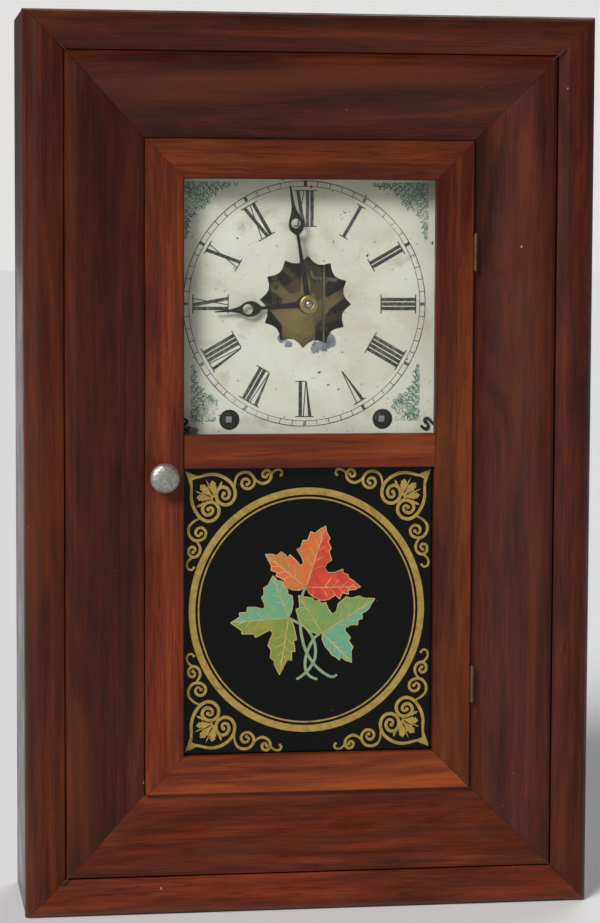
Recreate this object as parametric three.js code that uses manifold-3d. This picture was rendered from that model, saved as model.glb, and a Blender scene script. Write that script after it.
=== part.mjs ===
// A thirty-hour weight-driven striking shelf clock in an ogee case: a pine box with veneered
// mouldings, a glazed door, a painted dial, a brass movement with time and strike trains, two
// iron weights on cords, a pendulum and a coiled gong.
// Millimetres, +Z up, front towards -Y, origin at the middle of the bottom face.
import * as THREE from "three";
import { mergeVertices } from "three/addons/utils/BufferGeometryUtils.js";
import Module from "manifold-3d";

const wasm = await Module();
wasm.setup();

// ---------------------------------------------------------------- driving dimensions
const CASE = { width: 421, height: 660, front: -63.5, back: 63.5 };
// The pine box behind the mouldings: half-widths of its side boards, and its thicknesses.
const BOX = { outer: 210, inner: 200, front: -45.5, board: 10, backboard: 5.7 };
const HALF = CASE.width / 2;
const GAP = 0.3; // clearance between pieces that touch
const BAND = 28.5; // width of the outer moulding
const LIP = { half: 122.7, bottom: 87, top: 569.5 }; // opening inside the ogee moulding
const DOOR = {
  left: -122,
  right: 121.2,
  bottom: 87.8,
  top: 568.7,
  front: -53,
  back: -36,
  stile: 28.3,
  topRail: 28.9,
};
const MIDDLE_RAIL = { bottom: 329, top: 353.7 };
const RABBET = { width: 6, depth: 7 };
const HINGE = {
  x: 122.4,
  y: -52,
  barrel: 1.9,
  bore: 1.25,
  pin: 0.9,
  length: 27,
  heights: { upper: 487, lower: 166 },
};
const KNOB = { x: -109, z: 323, radius: 11 };
const DIAL = { z: 448.5, half: 103, bottom: 341, top: 556, front: -30, back: -29 };
const HANDS = { hour: { y: -34.5, angle: 265.2 }, minute: { y: -38, angle: -9.1 } };
const PLATE = { half: 72, bottom: 318, top: 533, front: [-14, -12.5], back: [18, 19.5] };
const PARTITION = { inner: 99, outer: 107, top: 598 };
const PULLEY = { x: 115, z: 624, groove: 20, rim: 23, board: [614, 622] };
const CORD_SLOT_X = 80.5; // where a cord passes through the upper rail
const CORD = { radius: 1.2, y: 3.5 };
const DRUM = { radius: 12, front: -4, back: 11 };
const WEIGHT = { x: 135, width: 50, depth: 32, height: 130, base: 11 };
const PENDULUM = { x: 14, y: -23.5, top: 522, bob: 243, wire: 0.75 };
const FORK_Z = 430; // where the crutch holds the pendulum wire
const GONG = { centre: [21, 97], y: 43, outer: 47, inner: 14, turns: 2.25, wire: 1.5, steps: 34 };

// Arbor centres, as x and z.
const CENTRE = [0, DIAL.z];
const TIME_DRUM = [57.5, 363];
const STRIKE_DRUM = [-57.5, 363];
const ESCAPE = [12, 494.5];
const VERGE = [14, 466];
const HAMMER = [-30, 345];
const MOTION_ANGLE = (150 * Math.PI) / 180;
const COUNT_ANGLE = (71 * Math.PI) / 180;

// Wheels: teeth, module, and the layer from front to back.
const GREAT = { teeth: 60, module: 1.295, y: [12, 14] };
const SECOND_PINION = { teeth: 20, module: 1.295, y: [11.8, 14.2] };
const SECOND = { teeth: 48, module: 1.4375, y: [-5.8, -4.4] };
const CENTRE_PINION = { teeth: 24, module: 1.4375, y: [-5.9, -4.3] };
const CENTRE_WHEEL = { teeth: 60, module: 0.75, y: [-2.5, -1.2] };
const THIRD_PINION = { teeth: 6, module: 0.75, y: [-3, -0.7] };
const THIRD = { teeth: 60, module: 0.7, y: [7, 8.3] };
const ESCAPE_PINION = { teeth: 6, module: 0.7, y: [6.5, 8.8] };
const ESCAPE_TEETH = { count: 34, tip: 18, root: 14.6, y: [-19.5, -18.3] };
const CANNON = { teeth: 12, module: 1, y: [-8.9, -7.5] };
const MOTION = { teeth: 36, module: 1, y: [-8.8, -7.6] };
const MOTION_PINION = { teeth: 10, module: 0.96, y: [-11.6, -10.2] };
const HOUR = { teeth: 40, module: 0.96, y: [-11.5, -10.3] };
const COUNT_PINION = { teeth: 9, module: 1.3, y: [13.8, 16.8] };
const COUNT = { teeth: 36, module: 1.3, y: [15, 16.2] };

// ---------------------------------------------------------------- materials
const look = (color, roughness, metalness = 0, extra = {}) =>
  new THREE.MeshStandardMaterial({ color, roughness, metalness, ...extra });
const MATERIAL = {
  veneer: look(0x4a1d12, 0.35),
  door_veneer: look(0x6b2a16, 0.32),
  pine: look(0x9a7448, 0.8),
  dial: look(0xd6d3bd, 0.6),
  black_steel: look(0x17181b, 0.4, 0.8),
  steel: look(0x8d9094, 0.4, 0.9),
  brass: look(0xb08a45, 0.35, 0.9),
  cast_iron: look(0x2f2d2c, 0.75, 0.6),
  pewter: look(0xa9aaa8, 0.45, 0.8),
  cord: look(0xc9b98e, 0.9),
  glass: look(0xe8f0ee, 0.05, 0, { transparent: true, opacity: 0.2 }),
  tablet: look(0x0d0f10, 0.15),
};

// ---------------------------------------------------------------- shape helpers
// Turns a closed geometry, whose seams and poles may be doubled, into a solid facing outwards.
function solid(geometry) {
  const bare = new THREE.BufferGeometry().setAttribute("position", geometry.getAttribute("position"));
  if (geometry.index) bare.setIndex(geometry.index);
  const merged = mergeVertices(bare, 1e-4);
  const triangles = [];
  for (let i = 0; i < merged.index.count; i += 3) {
    const [a, b, c] = [0, 1, 2].map((k) => merged.index.getX(i + k));
    if (a !== b && b !== c && c !== a) triangles.push([a, b, c]);
  }
  const build = (list) =>
    new wasm.Manifold(
      new wasm.Mesh({
        numProp: 3,
        vertProperties: merged.attributes.position.array,
        triVerts: new Uint32Array(list.flat()),
      }),
    );
  const made = build(triangles);
  return made.volume() < 0 ? build(triangles.map(([a, b, c]) => [a, c, b])) : made;
}

const join = (...pieces) => pieces.reduce((whole, piece) => whole.add(piece));
const cut = (body, ...pieces) => pieces.reduce((rest, piece) => rest.subtract(piece), body);

function box(x0, x1, y0, y1, z0, z1) {
  const geometry = new THREE.BoxGeometry(x1 - x0, y1 - y0, z1 - z0);
  return solid(geometry.translate((x0 + x1) / 2, (y0 + y1) / 2, (z0 + z1) / 2));
}

// A front-view outline of [x, z] points, from y0 at the front to y1 at the back.
function slab(points, y0, y1, holes = []) {
  const vectors = (list) => list.map(([x, z]) => new THREE.Vector2(x, z));
  const shape = new THREE.Shape(vectors(points));
  shape.holes = holes.map((hole) => new THREE.Path(vectors(hole)));
  const geometry = new THREE.ExtrudeGeometry(shape, { depth: y1 - y0, bevelEnabled: false });
  return solid(geometry.rotateX(Math.PI / 2).translate(0, y1, 0));
}

// Round bars along each axis.
function barY(radius, y0, y1, [x, z] = [0, 0], sides = 16) {
  return solid(new THREE.CylinderGeometry(radius, radius, y1 - y0, sides).translate(x, (y0 + y1) / 2, z));
}
function barZ(radius, z0, z1, [x, y], sides = 12) {
  const geometry = new THREE.CylinderGeometry(radius, radius, z1 - z0, sides);
  return solid(geometry.rotateX(Math.PI / 2).translate(x, y, (z0 + z1) / 2));
}
function barX(radius, x0, x1, [y, z], sides = 12) {
  const geometry = new THREE.CylinderGeometry(radius, radius, x1 - x0, sides);
  return solid(geometry.rotateZ(Math.PI / 2).translate((x0 + x1) / 2, y, z));
}
// A turned piece on a Y axis, from [radius, y] points.
function turned(profile, sides, [x, z] = [0, 0]) {
  const geometry = new THREE.LatheGeometry(
    profile.map(([r, y]) => new THREE.Vector2(r, y)),
    sides,
  );
  return solid(geometry.translate(x, 0, z));
}

const polar = (radius, angle, [x, z] = [0, 0]) => [
  x + radius * Math.cos(angle),
  z + radius * Math.sin(angle),
];
const circle = (radius, centre, sides = 16) =>
  Array.from({ length: sides }, (_, i) => polar(radius, (2 * Math.PI * i) / sides, centre));

// A straight bar of the given width between two points of the front view.
function strap([x0, z0], [x1, z1], width, y) {
  const length = Math.hypot(x1 - x0, z1 - z0);
  const [nx, nz] = [(-(z1 - z0) / length) * (width / 2), ((x1 - x0) / length) * (width / 2)];
  const corners = [
    [x0 + nx, z0 + nz],
    [x1 + nx, z1 + nz],
    [x1 - nx, z1 - nz],
    [x0 - nx, z0 - nz],
  ];
  return slab(corners, y[0], y[1]);
}

// ---------------------------------------------------------------- gear helpers
const pitchRadius = ({ teeth, module }) => (teeth * module) / 2;
const TOOTH = { addendum: 0.85, dedendum: 1.2, base: 0.72 };

// Crossing point of circles about a and b, on the side given by sign.
function meeting(a, radiusA, b, radiusB, sign) {
  const [dx, dz] = [b[0] - a[0], b[1] - a[1]];
  const distance = Math.hypot(dx, dz);
  const along = (distance ** 2 + radiusA ** 2 - radiusB ** 2) / (2 * distance);
  const across = sign * Math.sqrt(radiusA ** 2 - along ** 2);
  return [a[0] + (dx * along - dz * across) / distance, a[1] + (dz * along + dx * across) / distance];
}

// Phase of a driven wheel, so that its gap faces a tooth of the driver on their line of centres.
function meshed(from, driver, driverPhase, to, driven) {
  const line = Math.atan2(to[1] - from[1], to[0] - from[0]);
  const share = (line - driverPhase) / ((2 * Math.PI) / driver.teeth);
  return line + Math.PI - (0.5 - share) * ((2 * Math.PI) / driven.teeth);
}

// A toothed wheel about the origin, with pointed teeth, a bore, and windows between its arms.
function gear(wheel, phase, { bore = 0, arms = 0, hub = 0, rim = 0 } = {}) {
  const pitch = (2 * Math.PI) / wheel.teeth;
  const radius = pitchRadius(wheel);
  const root = radius - TOOTH.dedendum * wheel.module;
  const tip = radius + TOOTH.addendum * wheel.module;
  const points = [];
  for (let i = 0; i < wheel.teeth; i++) {
    const angle = phase + i * pitch;
    points.push(polar(root, angle - (TOOTH.base / 2) * pitch));
    points.push(polar(tip, angle));
    points.push(polar(root, angle + (TOOTH.base / 2) * pitch));
  }
  const holes = bore ? [circle(bore, [0, 0], 12)] : [];
  for (let i = 0; i < arms; i++) holes.push(window(i, arms, hub, root - rim));
  return slab(points, wheel.y[0], wheel.y[1], holes);
}

// The opening between two arms of a wheel.
function window(index, arms, inner, outer) {
  const start = (2 * Math.PI * index) / arms;
  const sweep = (2 * Math.PI) / arms;
  const steps = [0, 0.33, 0.67, 1];
  const arc = (radius, margin) =>
    steps.map((t) => polar(radius, start + margin + t * (sweep - 2 * margin)));
  return [...arc(outer, 2.2 / outer), ...arc(inner, 2.2 / inner).reverse()];
}

// ---------------------------------------------------------------- assembly
const clock = new THREE.Group();

// Adds a named sub-part, built about its own centre [x, z] and set there.
function add(name, piece, material, [x, z] = [0, 0]) {
  const { numProp, vertProperties, triVerts } = piece.getMesh();
  const positions = new Float32Array((vertProperties.length / numProp) * 3);
  for (let i = 0; i < positions.length / 3; i++)
    positions.set(vertProperties.subarray(i * numProp, i * numProp + 3), i * 3);
  const geometry = new THREE.BufferGeometry();
  geometry.setAttribute("position", new THREE.BufferAttribute(positions, 3));
  geometry.setIndex(new THREE.BufferAttribute(triVerts, 1));
  const mesh = new THREE.Mesh(geometry, MATERIAL[material]);
  mesh.name = name;
  mesh.position.set(x, 0, z);
  clock.add(mesh);
}

const SIDES = [
  ["left", -1],
  ["right", 1],
];
// The strike train is on the left and the time train on the right.
const TRAINS = [
  ["strike", -1, STRIKE_DRUM],
  ["time", 1, TIME_DRUM],
];

// ---------------------------------------------------------------- case
function makeCase() {
  const innerHalf = BOX.inner - GAP;
  const boardBack = CASE.back - BOX.backboard - GAP;
  const y = [BOX.front, boardBack];
  for (const [side, sign] of SIDES) {
    const [x0, x1] = [sign * BOX.inner, sign * BOX.outer].sort((a, b) => a - b);
    add(`case_side_${side}`, box(x0, x1, ...y, 0, CASE.height), "pine");
    const [p0, p1] = [sign * PARTITION.inner, sign * PARTITION.outer].sort((a, b) => a - b);
    const partition = box(p0, p1, -28.7, boardBack - GAP, BOX.board + GAP, PARTITION.top);
    add(`partition_${side}`, partition, "pine");
  }
  add("case_bottom", box(-innerHalf, innerHalf, ...y, 0, BOX.board), "pine");
  add("case_top", box(-innerHalf, innerHalf, ...y, CASE.height - BOX.board, CASE.height), "pine");
  const backboardFront = CASE.back - BOX.backboard;
  add("backboard", box(-BOX.outer, BOX.outer, backboardFront, CASE.back, 0, CASE.height), "pine");

  // The pulley board, with a slot for each pulley.
  const slot = PULLEY.rim + 0.6;
  const slots = TRAINS.map(([, sign]) =>
    box(sign * PULLEY.x - slot, sign * PULLEY.x + slot, CORD.y - 8, CORD.y + 8, 600, 640),
  );
  const board = box(-innerHalf, innerHalf, -33.5, boardBack, PULLEY.board[0], PULLEY.board[1]);
  add("pulley_board", cut(board, ...slots), "pine");

  // Rails that hold the movement between the partitions; the cords pass through the upper one.
  const railHalf = PARTITION.inner - GAP;
  const cordSlots = TRAINS.map(([, sign]) =>
    box(sign * CORD_SLOT_X - 9, sign * CORD_SLOT_X + 9, CORD.y - 4, CORD.y + 4, 530, 550),
  );
  const upper = box(-railHalf, railHalf, -15, 20, PLATE.top + 1, PLATE.top + 14);
  add("movement_rail_upper", cut(upper, ...cordSlots), "pine");
  const lower = box(-railHalf, railHalf, -15, 20, PLATE.bottom - 13, PLATE.bottom - GAP);
  add("movement_rail_lower", lower, "pine");
}

// ---------------------------------------------------------------- mouldings
// Extrudes a moulding's section [u, d], with u inwards from its outer edge and d back from the
// front plane, as the bottom member of a frame from x0 to x1. Its outer edge is z = 0, and both
// ends are mitred: each moves in by slope for every unit of u, and by half the open joint.
function mitred(section, x0, x1, slope, half = 0.15) {
  const shape = new THREE.Shape(section.map(([u, d]) => new THREE.Vector2(d, u)));
  const geometry = new THREE.ExtrudeGeometry(shape, { depth: x1 - x0, bevelEnabled: false });
  // Local x (d) goes to y, local y (u) to z, local z to x.
  geometry.applyMatrix4(
    new THREE.Matrix4().makeBasis(
      new THREE.Vector3(0, 1, 0),
      new THREE.Vector3(0, 0, 1),
      new THREE.Vector3(1, 0, 0),
    ),
  );
  geometry.translate(x0, CASE.front, 0);
  const place = geometry.getAttribute("position");
  const middle = (x0 + x1) / 2;
  for (let i = 0; i < place.count; i++) {
    const shift = place.getZ(i) * slope + half;
    place.setX(i, place.getX(i) + (place.getX(i) < middle ? shift : -shift));
  }
  return geometry;
}

// Four mitred members round a rectangle, from outer to inner edges.
function frameOf(prefix, outer, inner, sectionOf, material) {
  const sideWidth = outer.right - inner.right;
  const topWidth = outer.top - inner.top;
  const bottomWidth = inner.bottom - outer.bottom;
  const bottom = mitred(sectionOf(bottomWidth), outer.left, outer.right, sideWidth / bottomWidth);
  add(`${prefix}_bottom`, solid(bottom.translate(0, 0, outer.bottom)), material);
  const top = mitred(sectionOf(topWidth), outer.left, outer.right, sideWidth / topWidth);
  add(`${prefix}_top`, solid(top.scale(1, 1, -1).translate(0, 0, outer.top)), material);
  // A side member meets two different rails, so its ends have different slopes.
  for (const [side, sign] of SIDES) {
    const length = outer.top - outer.bottom;
    const member = mitred(sectionOf(sideWidth), -length / 2, length / 2, 0, 0.15);
    const place = member.getAttribute("position");
    for (let i = 0; i < place.count; i++) {
      const [x, u] = [place.getX(i), place.getZ(i)];
      place.setX(i, x + (x < 0 ? (u * bottomWidth) / sideWidth : (-u * topWidth) / sideWidth));
    }
    // Stand it up: its length along z, its outer edge at the side.
    const edge = sign > 0 ? outer.right : outer.left;
    for (let i = 0; i < place.count; i++) {
      const [along, u] = [place.getX(i), place.getZ(i)];
      place.setX(i, edge - sign * u);
      place.setZ(i, (outer.top + outer.bottom) / 2 + along);
    }
    add(`${prefix}_${side}`, solid(member), material);
  }
}

function makeMouldings() {
  const band = () => {
    const round = Array.from({ length: 7 }, (_, i) => {
      const t = ((i / 6) * Math.PI) / 2;
      return [13 - 13 * Math.cos(t), 11 - 11 * Math.sin(t)];
    });
    return [...round, [21, 0.9], [BAND, 3.5], [BAND, 17.7], [0, 17.7]];
  };
  const outer = { left: -HALF, right: HALF, bottom: 0, top: CASE.height };
  const inner = { left: BAND - HALF, right: HALF - BAND, bottom: BAND, top: CASE.height - BAND };
  frameOf("outer_moulding", outer, inner, band, "veneer");

  // The ogee: a small round, a crest, and one long S down to a flat lip; a tongue behind the outer moulding.
  const ogee = (width) => {
    const k = width / 59;
    const tongue = -0.3 * width;
    const round = [
      [0, 5.5],
      [1.2 * k, 2.6],
      [4 * k, 0.7],
    ];
    const bend = Array.from({ length: 13 }, (_, i) => {
      const t = i / 12;
      return [(9 + 45 * t) * k, (15.75 * (1 - Math.cos(Math.PI * t))) / 2];
    });
    return [...round, ...bend, [width, 16], [width, 29.5], [tongue, 29.5], [tongue, 18.3], [0, 18.3]];
  };
  const ogeeOuter = {
    left: inner.left + GAP,
    right: inner.right - GAP,
    bottom: inner.bottom + GAP,
    top: inner.top - GAP,
  };
  const ogeeInner = { left: -LIP.half, right: LIP.half, bottom: LIP.bottom, top: LIP.top };
  frameOf("ogee_moulding", ogeeOuter, ogeeInner, ogee, "veneer");
}

// ---------------------------------------------------------------- door
function makeDoor() {
  const depth = DOOR.back - DOOR.front;
  const section = (width) => [
    [0, DOOR.front - CASE.front + 0.8],
    [0.8, DOOR.front - CASE.front],
    [width - 0.8, DOOR.front - CASE.front],
    [width, DOOR.front - CASE.front + 0.8],
    [width, DOOR.front - CASE.front + RABBET.depth],
    [width - RABBET.width, DOOR.front - CASE.front + RABBET.depth],
    [width - RABBET.width, DOOR.front - CASE.front + depth],
    [0, DOOR.front - CASE.front + depth],
  ];
  const outer = { left: DOOR.left, right: DOOR.right, bottom: DOOR.bottom, top: DOOR.top };
  const inner = {
    left: DOOR.left + DOOR.stile,
    right: DOOR.right - DOOR.stile,
    bottom: DOOR.bottom + DOOR.stile,
    top: DOOR.top - DOOR.topRail,
  };
  frameOf("door_member", outer, inner, section, "door_veneer");

  // The middle rail butts between the stiles and has a rabbet above and below.
  const rail = join(
    box(inner.left + 0.2, inner.right - 0.2, DOOR.front, DOOR.front + RABBET.depth + 0.01, ...railSpan(0)),
    box(
      inner.left - RABBET.width + GAP,
      inner.right + RABBET.width - GAP,
      DOOR.front + RABBET.depth + GAP,
      DOOR.back,
      ...railSpan(RABBET.width),
    ),
    box(inner.left + 1, inner.right - 1, DOOR.front + 2, DOOR.back - 2, ...railSpan(RABBET.width)),
  );
  add("door_member_middle", rail, "door_veneer");

  const paneY = [DOOR.front + RABBET.depth + GAP, DOOR.front + RABBET.depth + GAP + 2];
  const slip = RABBET.width - GAP;
  const paneX = [inner.left - slip, inner.right + slip];
  const pane = (z0, z1) => box(...paneX, ...paneY, z0 - slip, z1 + slip);
  add("dial_glass", pane(MIDDLE_RAIL.top, inner.top), "glass");
  add("tablet_glass", pane(inner.bottom, MIDDLE_RAIL.bottom), "tablet");
}
const railSpan = (inset) => [MIDDLE_RAIL.bottom + inset, MIDDLE_RAIL.top - inset];

// Replaces a sub-part's shape by itself less the given pieces.
function carve(name, ...pieces) {
  const mesh = clock.getObjectByName(name);
  const { x, z } = mesh.position;
  const material = Object.keys(MATERIAL).find((key) => MATERIAL[key] === mesh.material);
  clock.remove(mesh);
  add(name, cut(solid(mesh.geometry), ...pieces), material, [x, z]);
}

function makeHinges() {
  const knuckle = HINGE.length / 3;
  for (const [place, z] of Object.entries(HINGE.heights)) {
    const [low, high] = [z - HINGE.length / 2, z + HINGE.length / 2];
    const bore = barZ(HINGE.bore, low - 1, high + 1, [HINGE.x, HINGE.y], 8);
    // Case leaf with the two outer knuckles and the pin fixed in their ends.
    const caseLeaf = join(
      box(HINGE.x + 0.2, HINGE.x + 1, HINGE.y, DOOR.back - 2, low, high),
      barZ(HINGE.barrel, low, high, [HINGE.x, HINGE.y], 10),
    );
    const room = knuckle / 2 + GAP;
    const middle = box(118, HINGE.x + 2.4, HINGE.y - 2.2, HINGE.y + 2.4, z - room, z + room);
    const pin = barZ(HINGE.pin, low - 0.8, high + 0.8, [HINGE.x, HINGE.y], 8);
    add(`hinge_case_leaf_${place}`, join(cut(caseLeaf, middle), pin), "brass");
    const doorLeaf = join(
      box(HINGE.x - 1.8, HINGE.x - 1, HINGE.y + 2.3, DOOR.back - 2, low, high),
      box(HINGE.x - 1.8, HINGE.x - 1, HINGE.y, HINGE.y + 3, z - knuckle / 2, z + knuckle / 2),
      barZ(HINGE.barrel, z - knuckle / 2, z + knuckle / 2, [HINGE.x, HINGE.y], 10),
    );
    add(`hinge_door_leaf_${place}`, cut(doorLeaf, bore), "brass");
    // Mortises in the door edge and in the case lip, and room for the barrel.
    const doorMortise = join(
      box(HINGE.x - 2.2, DOOR.right + 1, HINGE.y - 3, DOOR.back - 1.5, low - 0.4, high + 0.4),
      barZ(HINGE.barrel + 0.5, low - 1.2, high + 1.2, [HINGE.x, HINGE.y]),
    );
    carve("door_member_right", doorMortise);
    const caseMortise = [LIP.half - 1, HINGE.x + 1.4, HINGE.y, DOOR.back - 1.5, low - 0.4, high + 0.4];
    carve("ogee_moulding_right", box(...caseMortise));
  }
}

function makeKnob() {
  const centre = [KNOB.x, KNOB.z];
  carve("door_member_left", barY(3.3, DOOR.front - 5, DOOR.back + 5, centre));
  // Domed disc on a short neck, with a spindle through the stile.
  const profile = [
    [0, -69],
    [5, -68.6],
    [9, -67.2],
    [KNOB.radius, -64.8],
    [KNOB.radius - 0.6, -62.6],
    [5.4, -60.6],
    [4.4, -57],
    [5.6, -53.6],
    [5.6, -53.3],
    [2.6, -53.3],
    [2.6, -34.2],
    [0, -34.2],
  ];
  const square = 1.6; // half the square end that carries the latch
  const knob = join(turned(profile, 20), box(-square, square, -35, -31.4, -square, square));
  add("door_knob", knob, "pewter", centre);
  const tongue = [
    [-4.5, 4.5],
    [4.5, 4.5],
    [4.5, -15],
    [2.2, -19],
    [-2.2, -19],
    [-4.5, -15],
  ];
  const eye = square + GAP;
  const squareHole = [
    [-eye, -eye],
    [eye, -eye],
    [eye, eye],
    [-eye, eye],
  ];
  add("door_latch", slab(tongue, -33.4, -31.9, [squareHole]), "brass", centre);
}

// ---------------------------------------------------------------- dial and hands
function makeDial() {
  // Scalloped opening: twelve arcs meeting in outward cusps, cut a little off the arbor's centre.
  const about = [CENTRE[0] - 0.9, CENTRE[1] + 1.5];
  const scallop = Array.from({ length: 48 }, (_, i) => {
    const t = Math.abs(((i % 4) - 2) / 2);
    return polar(29.1 + 5.2 * t * t, ((i / 48) * 360 - 3) * (Math.PI / 180), about);
  });
  const holes = [scallop, circle(7.7, TIME_DRUM, 16), circle(7.7, STRIKE_DRUM, 16)];
  const { half, bottom, top, front, back } = DIAL;
  const outline = [
    [-half, bottom],
    [half, bottom],
    [half, top],
    [-half, top],
  ];
  add("dial_plate", slab(outline, front, back, holes), "dial");
}

// A hand from half-widths at distances from its centre, with an eye in its bulb.
function hand(halfWidths, eye, hub, y, clockwise) {
  const outline = [
    ...halfWidths.map(([r, w]) => [w, r]),
    ...[...halfWidths].reverse().map(([r, w]) => [-w, r]),
  ];
  const blade = slab(outline, y - 0.45, y + 0.45, [circle(eye.radius, [0, eye.at], 12)]);
  const whole = join(blade, barY(hub.outer, y - 0.45, y + 0.45));
  return cut(whole, barY(hub.bore, y - 2, y + 2, [0, 0], 12)).rotate([0, clockwise, 0]);
}

function makeHands() {
  const minute = [
    [-3, 2.6],
    [8, 2.2],
    [50, 0.95],
    [51.6, 1.3],
    [53.2, 3.2],
    [55, 4.7],
    [57.5, 5.7],
    [60, 5.5],
    [63, 4.7],
    [66, 3.4],
    [69, 2.2],
    [73, 1.3],
    [80, 0.9],
    [88, 0.45],
  ];
  const hour = [
    [-3, 2.8],
    [8, 2.4],
    [33.2, 1.2],
    [34.7, 1.5],
    [36.7, 3.6],
    [39.2, 5.2],
    [41.7, 5.9],
    [44.7, 5.7],
    [47.7, 4.6],
    [50.2, 2.9],
    [53.2, 1.9],
    [57.7, 1.05],
    [69.3, 0.4],
  ];
  const minuteEye = { at: 60, radius: 3.6 };
  const minuteHub = { outer: 6, bore: 2.9 };
  const minuteHand = hand(minute, minuteEye, minuteHub, HANDS.minute.y, HANDS.minute.angle);
  add("minute_hand", minuteHand, "black_steel", CENTRE);
  const hourEye = { at: 44.7, radius: 3.8 };
  const hourHub = { outer: 7.4, bore: 5.1 };
  const hourHand = hand(hour, hourEye, hourHub, HANDS.hour.y, HANDS.hour.angle);
  add("hour_hand", hourHand, "black_steel", CENTRE);
}

// ---------------------------------------------------------------- movement
const SECOND_AT = meeting(
  TIME_DRUM,
  pitchRadius(GREAT) + pitchRadius(SECOND_PINION),
  CENTRE,
  pitchRadius(SECOND) + pitchRadius(CENTRE_PINION),
  -1,
);
const THIRD_AT = meeting(
  CENTRE,
  pitchRadius(CENTRE_WHEEL) + pitchRadius(THIRD_PINION),
  ESCAPE,
  pitchRadius(THIRD) + pitchRadius(ESCAPE_PINION),
  -1,
);
const MOTION_AT = polar(pitchRadius(CANNON) + pitchRadius(MOTION), MOTION_ANGLE, CENTRE);
const COUNT_AT = polar(pitchRadius(COUNT_PINION) + pitchRadius(COUNT), COUNT_ANGLE, STRIKE_DRUM);

function makePlates() {
  const { half, bottom, top } = PLATE;
  const rim = 12;
  const outline = [
    [-half, bottom],
    [half, bottom],
    [half, top],
    [-half, top],
  ];
  const opening = [
    [rim - half, bottom + rim],
    [half - rim, bottom + rim],
    [half - rim, top - rim],
    [rim - half, top - rim],
  ];
  const y = PLATE.front;
  const boss = (at, radius, span) => barY(radius, span[0], span[1], at, 12);
  const arborHole = (at, radius) => barY(radius, -30, 30, at, 8);

  // Shapes that join the block round the centre to the rim, as offsets from the dial's centre.
  const aboutCentre = (points) => points.map(([x, z]) => [x, z + CENTRE[1]]);
  const gusset = aboutCentre([
    [-15, -4.2],
    [-15, -17.6],
    [-25.5, -4.7],
  ]);
  const arm = aboutCentre([
    [8, 1],
    [8, -17.5],
    [12.6, -13.5],
    [16, -9],
    [20.5, -4],
    [27.6, 2],
    [36, 6.5],
    [61, 14],
    [61, 25],
    [36, 14.5],
    [27.6, 10],
    [18, 5],
  ]);

  // Front plate: a rim, straps to each arbor, and the block round the centre.
  let front = join(
    slab(outline, y[0], y[1], [opening]),
    box(-16, 9, y[0], y[1], 420.5, 456),
    box(-2, 5, y[0], y[1], 455, top - 1),
    box(-10, 4, y[0], y[1], bottom + 1, 421),
    box(1 - half, half - 1, y[0], y[1], 354, 372),
    strap([33, 360], SECOND_AT, 7, y),
    strap(MOTION_AT, [-8, 450], 7, y),
    slab(gusset, y[0], y[1]),
    slab(arm, y[0], y[1]),
    strap(THIRD_AT, [0, THIRD_AT[1]], 8, y),
    strap(ESCAPE, [0, ESCAPE[1]], 9, y),
    strap(VERGE, THIRD_AT, 7, y),
    boss(CENTRE, 9.5, y),
    boss(MOTION_AT, 4.5, y),
    boss(THIRD_AT, 5, y),
    boss(ESCAPE, 6, y),
    boss(VERGE, 4.5, y),
    boss(SECOND_AT, 5.5, y),
    // Pin for the verge, and the slit post that the pendulum hangs from.
    barY(1, -22.4, y[0] + 0.5, VERGE, 12),
    box(10, 18, y[0], y[1], 512, top - 1),
    cut(
      box(PENDULUM.x - 3.4, PENDULUM.x + 3.4, -26, y[0] + 0.5, 519.5, 526.5),
      box(PENDULUM.x - 1.1, PENDULUM.x + 1.1, -30, -16, 515, 530),
    ),
  );
  front = cut(
    front,
    arborHole(CENTRE, 5.6),
    arborHole(TIME_DRUM, 4.2),
    arborHole(STRIKE_DRUM, 4.2),
    arborHole(SECOND_AT, 1.9),
    arborHole(THIRD_AT, 1.5),
    arborHole(ESCAPE, 1.6),
    arborHole(MOTION_AT, 1.6),
  );
  add("front_plate", front, "brass");

  // Back plate, with four pillars that carry the front plate.
  const b = PLATE.back;
  let back = join(
    slab(outline, b[0], b[1], [opening]),
    box(-9, 9, b[0], b[1], bottom + 1, top - 1),
    box(1 - half, half - 1, b[0], b[1], 354, 372),
    strap([33, 360], [33, top - 1], 8, b),
    strap(HAMMER, [HAMMER[0], 360], 8, b),
    strap(COUNT_AT, [COUNT_AT[0], 360], 8, b),
    strap(THIRD_AT, [0, THIRD_AT[1]], 8, b),
    strap(ESCAPE, [0, ESCAPE[1]], 9, b),
    boss(CENTRE, 11, b),
    boss(THIRD_AT, 5, b),
    boss(ESCAPE, 6, b),
    boss(SECOND_AT, 5.5, b),
    boss(HAMMER, 5, b),
    boss(COUNT_AT, 5, b),
    ...[
      [-20, 324],
      [20, 324],
      [-64, 526],
      [64, 526],
    ].map((at) => barY(3.2, y[1] + GAP, b[0] + 0.5, at, 12)),
  );
  back = cut(
    back,
    arborHole(CENTRE, 2.9),
    arborHole(TIME_DRUM, 3.4),
    arborHole(STRIKE_DRUM, 3.4),
    arborHole(SECOND_AT, 1.9),
    arborHole(THIRD_AT, 1.5),
    arborHole(ESCAPE, 1.6),
    arborHole(HAMMER, 2),
    arborHole(COUNT_AT, 1.9),
  );
  add("back_plate", back, "brass");
}

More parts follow.
